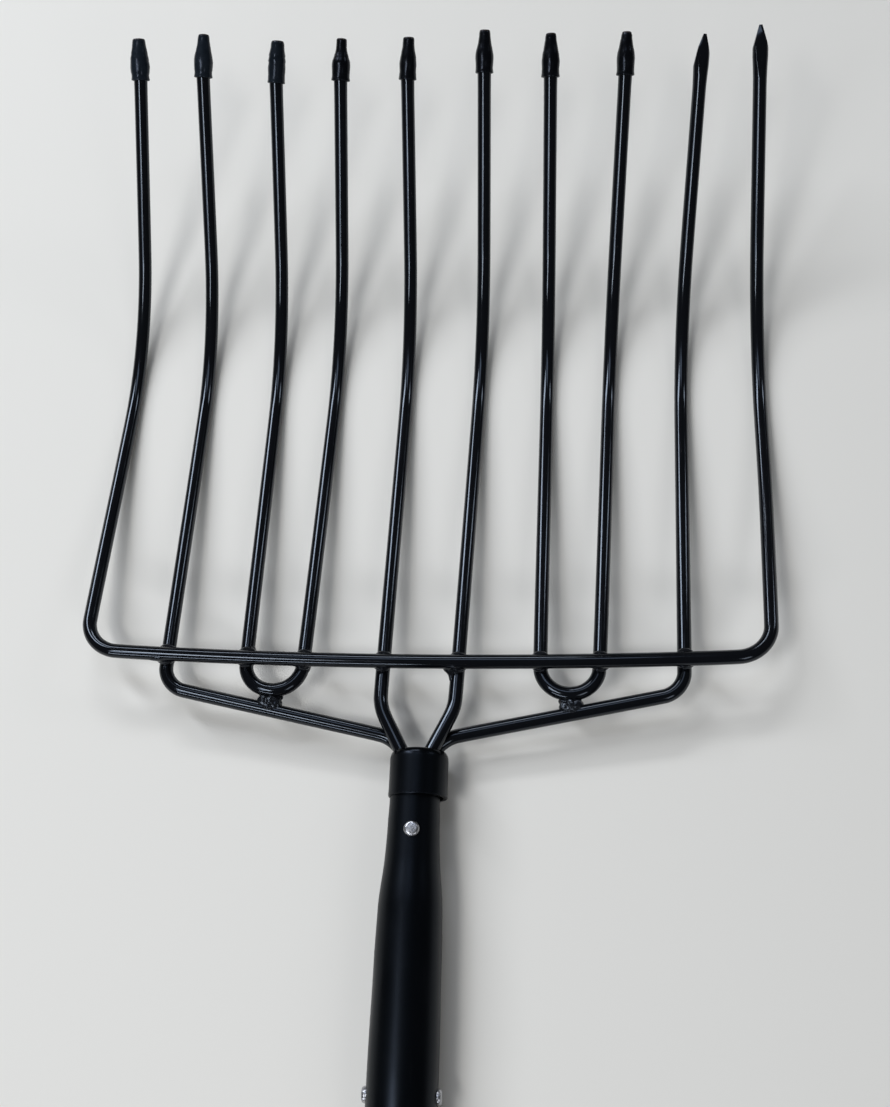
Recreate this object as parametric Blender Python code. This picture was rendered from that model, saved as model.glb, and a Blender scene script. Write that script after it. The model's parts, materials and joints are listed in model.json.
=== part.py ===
# A ten-tine steel bedding fork with a wooden handle, lying on its back on a flat floor.
# Metres, +Z up. +Y runs from the butt of the handle to the points of the tines, and the
# handle lies level along Y. The origin is on the floor under the middle of the fork's box.

import math

import bmesh
import bpy
from mathutils import Matrix, Vector

# Steel rod and the room between neighbours
ROD_DIAMETER = 0.00794
GAP = 0.0003

# The row of tines where it meets the crossbar, as distances from the middle
BOW_HALF = 0.1943
BRACE_HALF = 0.1447
LOOP_OUTER_HALF = 0.0990
LOOP_INNER_HALF = 0.0660
CENTRE_HALF = 0.0210

# How each tine was set by hand, left to right: (lean of its point to the right of its root,
# sideways bow at its belly, reach of its point forward of the crossbar)
TINE_SETTINGS = (
    (0.0170, -0.0020, 0.3510),
    (0.0055, -0.0005, 0.3520),
    (0.0045, -0.0015, 0.3480),
    (0.0110, -0.0010, 0.3480),
    (0.0060, 0.0005, 0.3475),
    (0.0100, 0.0010, 0.3495),
    (0.0040, -0.0005, 0.3470),
    (0.0155, -0.0025, 0.3465),
    (0.0135, -0.0050, 0.3460),
    (-0.0035, 0.0010, 0.3490),
)

# Side view of a tine: a straight root, one wide bend, and a straight rise to the point
ROOT_RUN = 0.152
BELLY_RADIUS = 0.165
TIP_RISE = math.radians(39.0)

# Crossbar, which is the middle of the outer bow and lies on top of the inner tines.
# The two outer tines come down from it to the level of the others before the belly.
BAR_SAG = 0.0054
BOW_CORNER_TUCK = 0.0032
BOW_CORNER_RADIUS = 0.020
BOW_EASE_RUN = 0.105
BOW_EASE_RADIUS = 0.5

# Below the crossbar
LOOP_DEPTH = 0.0202
LOOP_ROUNDNESS = 0.98
BRACE_CORNER_DEPTH = 0.0186
BRACE_CORNER_RADIUS = 0.015
BRACE_END_DEPTH = 0.0455
BRACE_END_RADIUS = 0.021
CENTRE_BEND_DEPTH = 0.0287
CENTRE_BEND_RADIUS = 0.030
CENTRE_END_DEPTH = 0.0062
CENTRE_END_RADIUS = 0.018
NECK_REACH = 0.052
CLUSTER_SPREAD = 0.0027
ROD_INSERT = 0.036

# Forged points
POINT_LENGTH = 0.0118
FLAT_LENGTH = 0.0139
SPEAR_HALF_WIDTH = 0.0046
SPEAR_HALF_THICKNESS = 0.0037
POINT_BLUNT = 0.0006
EDGEWISE_TINES = (9,)

# Rubber tip guards, which two of the tines have lost
GUARDED_TINES = (1, 2, 3, 4, 5, 6, 7, 8)
GUARD_LENGTH = 0.0242
GUARD_TOP_WALL = 0.0018
GUARD_WALL = 0.0009
GUARD_CROWN_RADIUS = 0.0034
GUARD_CROWN_ROUNDING = 0.0005
GUARD_WAIST = 0.0002

# Weld beads
BEAD_HALF_WIDTH = 0.0062
BEAD_HALF_LENGTH = 0.0083
BEAD_HALF_HEIGHT = 0.0034
LOOP_WELD_HALF_WIDTH = 0.0072
LOOP_WELD_MARGIN = 0.0016
LOOP_WELD_HALF_HEIGHT = 0.0042

# Collar and ferrule, which share the handle's axis
COLLAR_WALL = 0.0012
COLLAR_LENGTH = 0.027
COLLAR_FACE = 0.002
COLLAR_EDGE_RADIUS = 0.003
COLLAR_PIP_RADIUS = 0.0008
NECK_ROOM = 0.0021
NECK_SETBACK = 0.0115
FERRULE_WALL = 0.0015
NECK_LENGTH = 0.041
FLARE_LENGTH = 0.034
SHOULDER_RADIUS = 0.0170
SHOULDER_LENGTH = 0.020
FERRULE_END_RADIUS = 0.0182
FERRULE_TAPER_LENGTH = 0.055
FERRULE_END_LENGTH = 0.041

# Handle
HANDLE_OUT = 1.110
HANDLE_SWELL = 0.045
HANDLE_RADIUS = 0.0170
HANDLE_WAIST_RADIUS = 0.0158
HANDLE_WAIST_PLACE = 0.700
BUTT_ROUNDING = 0.005
TENON_GAP = 0.0016

# Rivets
RIVET_RADIUS = 0.0025
RIVET_HEAD_RADIUS = 0.0042
RIVET_HEAD_HEIGHT = 0.0021
FRONT_RIVET_SETBACK = 0.0455
CROSS_RIVET_SETBACK = 0.175

# Facets
ROD_SIDES = 12
TURNED_SIDES = 32
RIVET_SIDES = 16
ARC_STEP = math.radians(9.0)
LOOP_STEP = math.radians(15.0)
BELLY_STEP = math.radians(5.0)
BEAD_SIDES = 12
BEAD_RINGS = 7

# Sizes that follow from those above
ROD_RADIUS = ROD_DIAMETER / 2
STACK = ROD_DIAMETER + GAP
BAR_HALF = BOW_HALF - BOW_CORNER_TUCK
CLUSTER_ACROSS = STACK / 2 + CLUSTER_SPREAD / 2
CLUSTER_UP = STACK / 2
CLUSTER_RADIUS = math.hypot(CLUSTER_ACROSS, CLUSTER_UP) + ROD_RADIUS
NECK_RADIUS = CLUSTER_RADIUS + NECK_ROOM + FERRULE_WALL
COLLAR_RADIUS = NECK_RADIUS + GAP + COLLAR_WALL
BELLY_CORNER = ROOT_RUN + BELLY_RADIUS * math.tan(TIP_RISE / 2)
FERRULE_LENGTH = (
    NECK_LENGTH + FLARE_LENGTH + SHOULDER_LENGTH + FERRULE_TAPER_LENGTH + FERRULE_END_LENGTH
)
FERRULE_FRONT = NECK_SETBACK
FERRULE_END = FERRULE_FRONT + FERRULE_LENGTH
AXIS_HEIGHT = max(FERRULE_END_RADIUS, COLLAR_RADIUS, HANDLE_RADIUS)
GUARD_OVERHANG = GUARD_TOP_WALL + GAP


def head_drop():
    """Angle by which the head dips from the handle, so that the bellies touch the floor."""
    run = ROOT_RUN + NECK_REACH
    rise = BELLY_RADIUS + CLUSTER_UP
    drop = AXIS_HEIGHT - ROD_RADIUS
    return math.atan2(rise, run) + math.asin((drop - BELLY_RADIUS) / math.hypot(run, rise))


HEAD_DROP = head_drop()


def head_offset(forward, up):
    """Turn a place beside the root plane into (along, above) the handle's axis."""
    ahead = forward + NECK_REACH
    high = up + CLUSTER_UP
    along = ahead * math.cos(HEAD_DROP) + high * math.sin(HEAD_DROP)
    above = high * math.cos(HEAD_DROP) - ahead * math.sin(HEAD_DROP)
    return along, above


def front_reach():
    """How far the furthest point, or the guard on it, stands ahead of the collar's mouth."""
    furthest = 0.0
    for number, setting in enumerate(TINE_SETTINGS, start=1):
        reach = setting[2]
        if number in GUARDED_TINES:
            reach += GUARD_OVERHANG * math.cos(TIP_RISE)
        height = (reach - BELLY_CORNER) * math.tan(TIP_RISE)
        furthest = max(furthest, head_offset(reach, height)[0])
    return furthest


MOUTH_Y = (FERRULE_END + HANDLE_OUT - front_reach()) / 2


def head_point(across, forward, up):
    """A world point from its place in the head: across, forward of the bar, above the roots."""
    along, above = head_offset(forward, up)
    return Vector((across, MOUTH_Y + along, AXIS_HEIGHT + above))


def socket_point(across, back, up):
    """A world point from its place in the socket: across, behind the mouth, above the axis."""
    return Vector((across, MOUTH_Y - back, AXIS_HEIGHT + up))


def clear_scene():
    for item in list(bpy.data.objects):
        bpy.data.objects.remove(item, do_unlink=True)


def make_material(name, colour, roughness, metallic=0.0):
    material = bpy.data.materials.new(name)
    material.use_nodes = True
    shader = material.node_tree.nodes["Principled BSDF"]
    shader.inputs["Base Color"].default_value = (*colour, 1.0)
    shader.inputs["Roughness"].default_value = roughness
    shader.inputs["Metallic"].default_value = metallic
    return material


def add_object(name, mesh_data, material):
    """Put a finished bmesh into the scene as one named object, shaded smooth."""
    bmesh.ops.recalc_face_normals(mesh_data, faces=mesh_data.faces)
    mesh = bpy.data.meshes.new(name)
    mesh_data.to_mesh(mesh)
    mesh_data.free()
    mesh.materials.append(material)
    mesh.shade_smooth()
    mesh.set_sharp_from_angle(angle=math.radians(35))
    item = bpy.data.objects.new(name, mesh)
    bpy.context.scene.collection.objects.link(item)
    return item


def cut_away(item, cutters):
    """Subtract cutters from an object. They stay in the scene as guides."""
    for cutter in cutters:
        modifier = item.modifiers.new("cut by " + cutter.name, "BOOLEAN")
        modifier.operation = "DIFFERENCE"
        modifier.solver = "EXACT"
        modifier.object = cutter
        cutter.hide_render = True
        cutter.display_type = "WIRE"


def bend_points(before, corner, after, radius, step):
    """Points of the arc that rounds a corner, from one tangent point to the other."""
    towards_before = (before - corner).normalized()
    towards_after = (after - corner).normalized()
    half_angle = towards_before.angle(towards_after) / 2
    setback = radius / math.tan(half_angle)
    centre = corner + (towards_before + towards_after).normalized() * (radius / math.sin(half_angle))
    start = corner + towards_before * setback - centre
    turn = math.pi - 2 * half_angle
    axis = towards_after.cross(towards_before).normalized()
    count = max(2, math.ceil(turn / step))
    return [centre + Matrix.Rotation(turn * k / count, 3, axis) @ start for k in range(count + 1)]


def bent_path(corners):
    """Centre line through (point, radius, step) corners. A radius of 0 keeps the point."""
    points = [corners[0][0]]
    for before, here, after in zip(corners, corners[1:], corners[2:]):
        corner, radius, step = here
        if radius > 0:
            points += bend_points(before[0], corner, after[0], radius, step)
        else:
            points.append(corner)
    points.append(corners[-1][0])
    return points


def plain(point):
    return (point, 0.0, ARC_STEP)


def tangents_of(points):
    ends = [points[0]] + points + [points[-1]]
    return [(after - before).normalized() for before, after in zip(ends, ends[2:])]


def carried_frames(points):
    """Directions across a path that turn with it and never twist."""
    tangents = tangents_of(points)
    side = Vector((1, 0, 0)) - tangents[0] * tangents[0].x
    frames = []
    for tangent in tangents:
        side = (side - tangent * side.dot(tangent)).normalized()
        frames.append((side, tangent.cross(side)))
    return frames


def squareness(angle, power):
    """Radius of a unit superellipse: power 2 is round, and near 1 it is a diamond."""
    return (abs(math.cos(angle)) ** power + abs(math.sin(angle)) ** power) ** (-1 / power)


def loft(rings, first_cap=True, last_cap=True):
    """Skin a list of rings of points, each with the same count, and cap the ends."""
    mesh_data = bmesh.new()
    rows = [[mesh_data.verts.new(point) for point in ring] for ring in rings]
    for row, following in zip(rows, rows[1:]):
        count = len(row)
        for k in range(count):
            across = (k + 1) % count
            mesh_data.faces.new((row[k], row[across], following[across], following[k]))
    if first_cap:
        mesh_data.faces.new(rows[0])
    if last_cap:
        mesh_data.faces.new(rows[-1])
    return mesh_data


def spear_stations():
    """(distance from the point, half width, half thickness, squareness power) of the forging."""
    point_share = 0.22
    flat_share = 0.5
    return (
        (0.0, POINT_BLUNT, POINT_BLUNT, 1.3),
        (
            POINT_LENGTH * point_share,
            POINT_BLUNT + (SPEAR_HALF_WIDTH - POINT_BLUNT) * 0.30,
            POINT_BLUNT + (SPEAR_HALF_THICKNESS - POINT_BLUNT) * 0.30,
            1.3,
        ),
        (POINT_LENGTH, SPEAR_HALF_WIDTH, SPEAR_HALF_THICKNESS, 1.6),
        (
            POINT_LENGTH + FLAT_LENGTH * flat_share,
            (SPEAR_HALF_WIDTH + ROD_RADIUS) / 2,
            SPEAR_HALF_THICKNESS + (ROD_RADIUS - SPEAR_HALF_THICKNESS) * 0.7,
            1.9,
        ),
        (POINT_LENGTH + FLAT_LENGTH, ROD_RADIUS, ROD_RADIUS, 2.0),
    )


def spear_points(point, inward):
    """Centre points of a forged point, from the point back into the round rod."""
    return [point + inward * station[0] for station in spear_stations()]


def rod_rings(corners, number_first=None, number_last=None, growth=0.0):
    """Rings of a bent rod. An end that is a tine's point is drawn out into a spear."""
    path = bent_path(corners)
    if number_first:
        inward = (path[1] - path[0]).normalized()
        path = spear_points(path[0], inward) + path[1:]
    if number_last:
        inward = (path[-2] - path[-1]).normalized()
        path = path[:-1] + spear_points(path[-1], inward)[::-1]
    tangents = tangents_of(path)
    frames = carried_frames(path)
    stations = spear_stations()
    rings = []
    for index, (centre, (side, up)) in enumerate(zip(path, frames)):
        half_width = half_thickness = ROD_RADIUS
        power = 2.0
        number = None
        if number_first and index < len(stations):
            number = number_first
            half_width, half_thickness, power = stations[index][1:]
        from_end = len(path) - 1 - index
        if number_last and from_end < len(stations):
            number = number_last
            half_width, half_thickness, power = stations[from_end][1:]
        tilt = 0.0
        if number:
            level = Vector((1, 0, 0)) - tangents[index] * tangents[index].x
            tilt = math.atan2(level.dot(up), level.dot(side))
            if number in EDGEWISE_TINES:
                tilt += math.pi / 2
        ring = []
        for k in range(ROD_SIDES):
            angle = 2 * math.pi * k / ROD_SIDES
            turned = angle - tilt
            reach = squareness(turned, power)
            wide = (half_width + growth) * reach * math.cos(turned)
            thick = (half_thickness + growth) * reach * math.sin(turned)
            across = wide * math.cos(tilt) - thick * math.sin(tilt)
            high = wide * math.sin(tilt) + thick * math.cos(tilt)
            ring.append(centre + side * across + up * high)
        rings.append(ring)
    return rings


ROOTS = (
    -BOW_HALF,
    -BRACE_HALF,
    -LOOP_OUTER_HALF,
    -LOOP_INNER_HALF,
    -CENTRE_HALF,
    CENTRE_HALF,
    LOOP_INNER_HALF,
    LOOP_OUTER_HALF,
    BRACE_HALF,
    BOW_HALF,
)


def tine_across(number, forward):
    """Where a tine stands across the fork, at a distance forward of the crossbar."""
    root = ROOTS[number - 1]
    lean, bow, reach = TINE_SETTINGS[number - 1]
    belly = lean * BELLY_CORNER / reach + bow
    if forward > BELLY_CORNER:
        share = (forward - BELLY_CORNER) / (reach - BELLY_CORNER)
        return root + belly + (lean - belly) * share
    return root + belly * forward / BELLY_CORNER


def tine_corners(number):
    """The point of a tine and the corner of its belly bend."""
    reach = TINE_SETTINGS[number - 1][2]
    height = (reach - BELLY_CORNER) * math.tan(TIP_RISE)
    tip = head_point(tine_across(number, reach), reach, height)
    belly = head_point(tine_across(number, BELLY_CORNER), BELLY_CORNER, 0.0)
    return [plain(tip), (belly, BELLY_RADIUS, BELLY_STEP)]


def bar_forward(across):
    """The crossbar's own curve: it sags towards the handle in the middle."""
    return -BAR_SAG * (1 - (across / BAR_HALF) ** 2)


def bow_side(number):
    """One side of the bow: a tine, its ease up to the crossbar's level, and the lower corner."""
    ease = head_point(tine_across(number, BOW_EASE_RUN), BOW_EASE_RUN, 0.0)
    side = math.copysign(1.0, ROOTS[number - 1])
    turn = head_point(side * BAR_HALF, 0.0, STACK)
    return tine_corners(number) + [
        (ease, BOW_EASE_RADIUS, BELLY_STEP),
        (turn, BOW_CORNER_RADIUS, ARC_STEP),
    ]


def bow_corners():
    spans = 8
    bar = []
    for k in range(1, spans):
        across = BAR_HALF * (2 * k / spans - 1)
        bar.append(plain(head_point(across, bar_forward(across), STACK)))
    return bow_side(1) + bar + bow_side(10)[::-1]


def loop_corners(first, last):
    """Two tines made from one rod, which turns back in a loop below the crossbar."""
    width = tine_across(last, -LOOP_DEPTH) - tine_across(first, -LOOP_DEPTH)
    radius = width / 2 * LOOP_ROUNDNESS
    start = head_point(tine_across(first, -LOOP_DEPTH), -LOOP_DEPTH, 0.0)
    end = head_point(tine_across(last, -LOOP_DEPTH), -LOOP_DEPTH, 0.0)
    bottom = [(start, radius, LOOP_STEP), (end, radius, LOOP_STEP)]
    return tine_corners(first) + bottom + tine_corners(last)[::-1]


def brace_corners(number):
    """A tine that turns under the crossbar and runs as a brace into the socket."""
    side = math.copysign(1.0, ROOTS[number - 1])
    turn = head_point(tine_across(number, -BRACE_CORNER_DEPTH), -BRACE_CORNER_DEPTH, 0.0)
    under = -(STACK + GAP)
    end = head_point(side * CLUSTER_ACROSS, -BRACE_END_DEPTH, under)
    return tine_corners(number) + [
        (turn, BRACE_CORNER_RADIUS, ARC_STEP),
        (end, BRACE_END_RADIUS, ARC_STEP),
        plain(socket_point(side * CLUSTER_ACROSS, ROD_INSERT, -CLUSTER_UP)),
    ]


def centre_corners(number):
    """A middle tine, which bends inwards and then straight into the socket."""
    side = math.copysign(1.0, ROOTS[number - 1])
    turn = head_point(tine_across(number, -CENTRE_BEND_DEPTH), -CENTRE_BEND_DEPTH, 0.0)
    mouth = socket_point(side * CLUSTER_ACROSS, CENTRE_END_DEPTH, CLUSTER_UP)
    return tine_corners(number) + [
        (turn, CENTRE_BEND_RADIUS, ARC_STEP),
        (mouth, CENTRE_END_RADIUS, ARC_STEP),
        plain(socket_point(side * CLUSTER_ACROSS, ROD_INSERT, CLUSTER_UP)),
    ]


def add_rods(paint):
    """The seven bent rods that carry the ten tines."""
    rods = {
        "outer_bow": rod_rings(bow_corners(), 1, 10),
        "left_loop_tines": rod_rings(loop_corners(3, 4), 3, 4),
        "right_loop_tines": rod_rings(loop_corners(7, 8), 7, 8),
        "left_brace_tine": rod_rings(brace_corners(2), 2),
        "right_brace_tine": rod_rings(brace_corners(9), 9),
        "left_centre_tine": rod_rings(centre_corners(5), 5),
        "right_centre_tine": rod_rings(centre_corners(6), 6),
    }
    for name, rings in rods.items():
        add_object(name, loft(rings), paint)


def add_guide(name, corners):
    """A rod grown by the gap, to cut the room for that rod in its neighbours."""
    return add_object(name, loft(rod_rings(corners, growth=GAP)), GUIDE_MATERIAL)


def ellipsoid(name, centre, across, along, half_sizes, material):
    """A squashed ball whose long axes follow two directions."""
    mesh_data = bmesh.new()
    bmesh.ops.create_uvsphere(
        mesh_data, u_segments=BEAD_SIDES, v_segments=BEAD_RINGS, radius=1.0
    )
    up = across.cross(along)
    turn = Matrix((across, along, up)).transposed()
    scale = Matrix.Diagonal(half_sizes)
    place = Matrix.Translation(centre) @ (turn @ scale).to_4x4()
    bmesh.ops.transform(mesh_data, matrix=place, verts=mesh_data.verts)
    return add_object(name, mesh_data, material)


def add_bar_welds(weld, bar_guide, guides):
    """A bead all round each place where the crossbar lies on an inner tine."""
    for number in range(2, 10):
        forward = bar_forward(ROOTS[number - 1])
        across = tine_across(number, forward)
        centre = head_point(across, forward, STACK / 2)
        ahead = (head_point(tine_across(number, forward + 0.01), forward + 0.01, 0.0)
                 - head_point(across, forward, 0.0)).normalized()
        sideways = Vector((1, 0, 0)) - ahead * ahead.x
        half_sizes = (BEAD_HALF_WIDTH, BEAD_HALF_LENGTH, BEAD_HALF_HEIGHT)
        bead = ellipsoid(
            "bar_weld_%d" % number, centre, sideways.normalized(), ahead, half_sizes, weld
        )
        cut_away(bead, [bar_guide, guides[number]])


def add_loop_welds(weld, guides):
    """The blob that ties the bottom of each loop to the brace that passes below it."""
    for side, loop_pair, brace in ((-1.0, (3, 4), 2), (1.0, (7, 8), 9)):
        outer = tine_across(loop_pair[0], -LOOP_DEPTH)
        inner = tine_across(loop_pair[1], -LOOP_DEPTH)
        across = (outer + inner) / 2
        bottom = head_point(across, -LOOP_DEPTH, 0.0)
        corner, end = brace_corners(brace)[2][0], brace_corners(brace)[3][0]
        run = (end - corner).normalized()
        nearest = corner + run * (bottom - corner).dot(run)
        middle = (bottom + nearest) / 2
        link = (nearest - bottom).normalized()
        half_sizes = (
            LOOP_WELD_HALF_WIDTH,
            (nearest - bottom).length / 2 + LOOP_WELD_MARGIN,
            LOOP_WELD_HALF_HEIGHT,
        )
        name = "left_loop_weld" if side < 0 else "right_loop_weld"
        blob = ellipsoid(name, middle, run, link, half_sizes, weld)
        cut_away(blob, [guides[loop_pair[0]], guides[brace]])


def turned(name, profile, sides, material):
    """Turn a closed outline of (radius, distance back) about the handle's axis."""
    mesh_data = bmesh.new()
    verts = [mesh_data.verts.new((radius, -back, 0.0)) for radius, back in profile]
    edges = [mesh_data.edges.new(pair) for pair in zip(verts, verts[1:] + verts[:1])]
    bmesh.ops.spin(
        mesh_data,
        geom=verts + edges,
        cent=(0, 0, 0),
        axis=(0, 1, 0),
        angle=2 * math.pi,
        steps=sides,
        use_merge=True,
    )
    bmesh.ops.remove_doubles(mesh_data, verts=mesh_data.verts, dist=0.00001)
    item = add_object(name, mesh_data, material)
    item.location = socket_point(0.0, 0.0, 0.0)
    return item


def turned_solid(name, profile, sides, material):
    """Turn an open outline of (radius, distance back), and close it with flat ends."""
    rings = []
    for radius, back in profile:
        ring = []
        for k in range(sides):
            angle = 2 * math.pi * k / sides
            ring.append(Vector((radius * math.cos(angle), -back, radius * math.sin(angle))))
        rings.append(ring)
    item = add_object(name, loft(rings), material)
    item.location = socket_point(0.0, 0.0, 0.0)
    return item


def round_over(radius_inside, back, rounding, count):
    """Quarter circle that turns a flat face at `back` into the side wall."""
    points = []
    for k in range(count + 1):
        angle = math.pi / 2 * k / count
        radius = radius_inside + rounding * math.sin(angle)
        points.append((radius, back + rounding * (1 - math.cos(angle))))
    return points


def add_collar(paint, guides):
    """The crimped cup over the mouth of the ferrule, with a hole for each of four rods."""
    bore = NECK_RADIUS + GAP
    outline = [(COLLAR_PIP_RADIUS, 0.0)]
    outline += round_over(COLLAR_RADIUS - COLLAR_EDGE_RADIUS, 0.0, COLLAR_EDGE_RADIUS, 5)
    outline += [(COLLAR_RADIUS, COLLAR_LENGTH), (bore, COLLAR_LENGTH)]
    outline += [(bore, COLLAR_FACE), (COLLAR_PIP_RADIUS, COLLAR_FACE)]
    collar = turned("collar", outline, TURNED_SIDES, paint)
    cut_away(collar, guides)


def ferrule_radii():
    """(distance behind the collar's mouth, outside radius) along the ferrule."""
    neck_end = FERRULE_FRONT + NECK_LENGTH
    shoulder = neck_end + FLARE_LENGTH
    taper_start = shoulder + SHOULDER_LENGTH
    taper_end = taper_start + FERRULE_TAPER_LENGTH
    # The flare is an S: half the climb each side of its middle
    flare = []
    for share in (0.25, 0.5, 0.75):
        eased = share * share * (3 - 2 * share)
        radius = NECK_RADIUS + (SHOULDER_RADIUS - NECK_RADIUS) * eased
        flare.append((neck_end + FLARE_LENGTH * share, radius))
    middle = SHOULDER_RADIUS + (FERRULE_END_RADIUS - SHOULDER_RADIUS) * 0.45
    return (
        [(FERRULE_FRONT, NECK_RADIUS), (neck_end, NECK_RADIUS)]
        + flare
        + [
            (shoulder, SHOULDER_RADIUS),
            (taper_start, middle),
            (taper_end, FERRULE_END_RADIUS),
            (FERRULE_END, FERRULE_END_RADIUS),
        ]
    )


def add_ferrule(paint, rivet_guides):
    outside = [(radius, back) for back, radius in ferrule_radii()]
    inside = [(radius - FERRULE_WALL, back) for radius, back in reversed(outside)]
    ferrule = turned("ferrule", outside + inside, TURNED_SIDES, paint)
    cut_away(ferrule, rivet_guides)


def add_handle(wood, rivet_guides):
    """The handle: a tenon that fills the ferrule, a long waist, and a rounded butt."""
    tenon_start = ROD_INSERT + TENON_GAP
    profile = []
    for back, radius in ferrule_radii():
        if back <= tenon_start:
            continue
        profile.append((radius - FERRULE_WALL - GAP, back))
    profile.insert(0, (NECK_RADIUS - FERRULE_WALL - GAP, tenon_start))
    butt = FERRULE_END + HANDLE_OUT
    profile += [
        (HANDLE_RADIUS, FERRULE_END + HANDLE_SWELL),
        (HANDLE_WAIST_RADIUS, FERRULE_END + HANDLE_WAIST_PLACE),
        (HANDLE_RADIUS, butt - HANDLE_SWELL),
    ]
    rounding = round_over(HANDLE_RADIUS - BUTT_ROUNDING, 0.0, BUTT_ROUNDING, 4)
    profile += [(radius, butt - back) for radius, back in reversed(rounding)]
    handle = turned_solid("handle", profile, TURNED_SIDES, wood)
    cut_away(handle, rivet_guides)


def rivet_outline(half_length, growth):
    """Half of a rivet, from the middle of its shank to the crown of its head."""
    shank = RIVET_RADIUS + growth
    if growth > 0:
        return [(shank, 0.0), (shank, half_length + RIVET_HEAD_RADIUS)]
    under_head = half_length + GAP
    points = [(shank, 0.0), (shank, under_head)]
    for k in range(5):
        angle = math.pi / 2 * k / 5
        radius = RIVET_HEAD_RADIUS * math.cos(angle)
        points.append((radius, under_head + RIVET_HEAD_HEIGHT * math.sin(angle)))
    return points


def add_rivet(name, back, half_length, axis, metal, growth=0.0):
    """A rivet right through the ferrule, with the same head at both ends."""
    half = rivet_outline(half_length, growth)
    full = [(radius, -along) for radius, along in reversed(half[1:])] + half
    rings = []
    for radius, along in full:
        ring = []
        for k in range(RIVET_SIDES):
            angle = 2 * math.pi * k / RIVET_SIDES
            ring.append(Vector((radius * math.cos(angle), radius * math.sin(angle), along)))
        rings.append(ring)
    rivet = add_object(name, loft(rings), metal)
    rivet.rotation_euler = Vector((0, 0, 1)).rotation_difference(axis).to_euler()
    rivet.location = socket_point(0.0, back, 0.0)
    return rivet


def guard_stations():
    """(height above the mouth, half width, half thickness) outside a tip guard."""
    bore_width = SPEAR_HALF_WIDTH + GAP
    bore_thickness = ROD_RADIUS + GAP
    wide = bore_width + GUARD_WALL
    thick = bore_thickness + GUARD_WALL
    crown = GUARD_CROWN_RADIUS
    return (
        (0.0, wide, thick),
        (GUARD_LENGTH * 0.10, wide - GUARD_WAIST, thick - GUARD_WAIST),
        (GUARD_LENGTH * 0.42, wide, thick),
        (GUARD_LENGTH * 0.58, (wide * 3 + crown) / 4, (thick * 3 + crown) / 4),
        (GUARD_LENGTH * 0.74, (wide + crown * 3) / 4, (thick + crown * 3) / 4),
        (GUARD_LENGTH * 0.96, crown, crown),
        (GUARD_LENGTH, crown - GUARD_CROWN_ROUNDING, crown - GUARD_CROWN_ROUNDING),
    )


def bore_stations():
    """(height above the mouth, half width, half thickness) of the room for a forged point."""
    wide = SPEAR_HALF_WIDTH + GAP
    thick = ROD_RADIUS + GAP
    depth = GUARD_LENGTH - GUARD_TOP_WALL
    shoulder = depth - GAP - POINT_LENGTH
    point = POINT_BLUNT + GAP * 2
    part_way = 0.22
    opened = part_way * 1.6
    return (
        (depth, point, point),
        (
            depth - POINT_LENGTH * part_way,
            point + (wide - point) * opened,
            point + (thick - point) * opened,
        ),
        (shoulder, wide, thick),
        (0.0, wide, thick),
    )


def add_guard(number, rubber):
    """A rubber cap over one point. Its own +Z runs along the tine, and out of the cap's top."""
    tip = tine_corners(number)[0][0]
    belly = tine_corners(number)[1][0]
    forward = (tip - belly).normalized()
    level = (Vector((1, 0, 0)) - forward * forward.x).normalized()
    rings = []
    for stations in (guard_stations(), bore_stations()):
        for height, half_width, half_thickness in stations:
            ring = []
            for k in range(ROD_SIDES):
                angle = 2 * math.pi * k / ROD_SIDES
                ring.append(Vector((
                    half_width * math.cos(angle), half_thickness * math.sin(angle), height)))
            rings.append(ring)
    outside_count = len(guard_stations())
    outside = loft(rings[:outside_count], first_cap=False)
    inside = loft(rings[outside_count:], last_cap=False)
    shell = bmesh.new()
    for shape in (outside, inside):
        copy = bpy.data.meshes.new("guard wall")
        shape.to_mesh(copy)
        shape.free()
        shell.from_mesh(copy)
        bpy.data.meshes.remove(copy)
    rim = [edge for edge in shell.edges if edge.is_boundary]
    bmesh.ops.bridge_loops(shell, edges=rim)
    guard = add_object("tip_guard_%d" % number, shell, rubber)
    turn = Matrix((level, forward.cross(level), forward)).transposed()
    mouth = tip - forward * (GUARD_LENGTH - GUARD_OVERHANG)
    guard.matrix_world = Matrix.Translation(mouth) @ turn.to_4x4()


clear_scene()
GUIDE_MATERIAL = make_material("guide", (0.5, 0.5, 0.5), 0.5)
rod_paint = make_material("black gloss paint", (0.012, 0.013, 0.016), 0.22)
weld_paint = make_material("painted weld", (0.016, 0.017, 0.020), 0.35)
tube_paint = make_material("black satin paint", (0.016, 0.017, 0.019), 0.42)
rubber = make_material("black rubber", (0.030, 0.031, 0.034), 0.75)
aluminium = make_material("bright aluminium", (0.78, 0.78, 0.79), 0.32, 1.0)
ash = make_material("oiled ash", (0.52, 0.36, 0.20), 0.55)

add_rods(rod_paint)

bar_guide = add_guide("guide_bow", bow_corners())
tine_guides = {
    2: add_guide("guide_left_brace", brace_corners(2)),
    3: add_guide("guide_left_loop", loop_corners(3, 4)),
    5: add_guide("guide_left_centre", centre_corners(5)),
    6: add_guide("guide_right_centre", centre_corners(6)),
    7: add_guide("guide_right_loop", loop_corners(7, 8)),
    9: add_guide("guide_right_brace", brace_corners(9)),
}
tine_guides[4] = tine_guides[3]
tine_guides[8] = tine_guides[7]
add_bar_welds(weld_paint, bar_guide, tine_guides)
add_loop_welds(weld_paint, tine_guides)

add_collar(tube_paint, [tine_guides[number] for number in (2, 5, 6, 9)])

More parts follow.
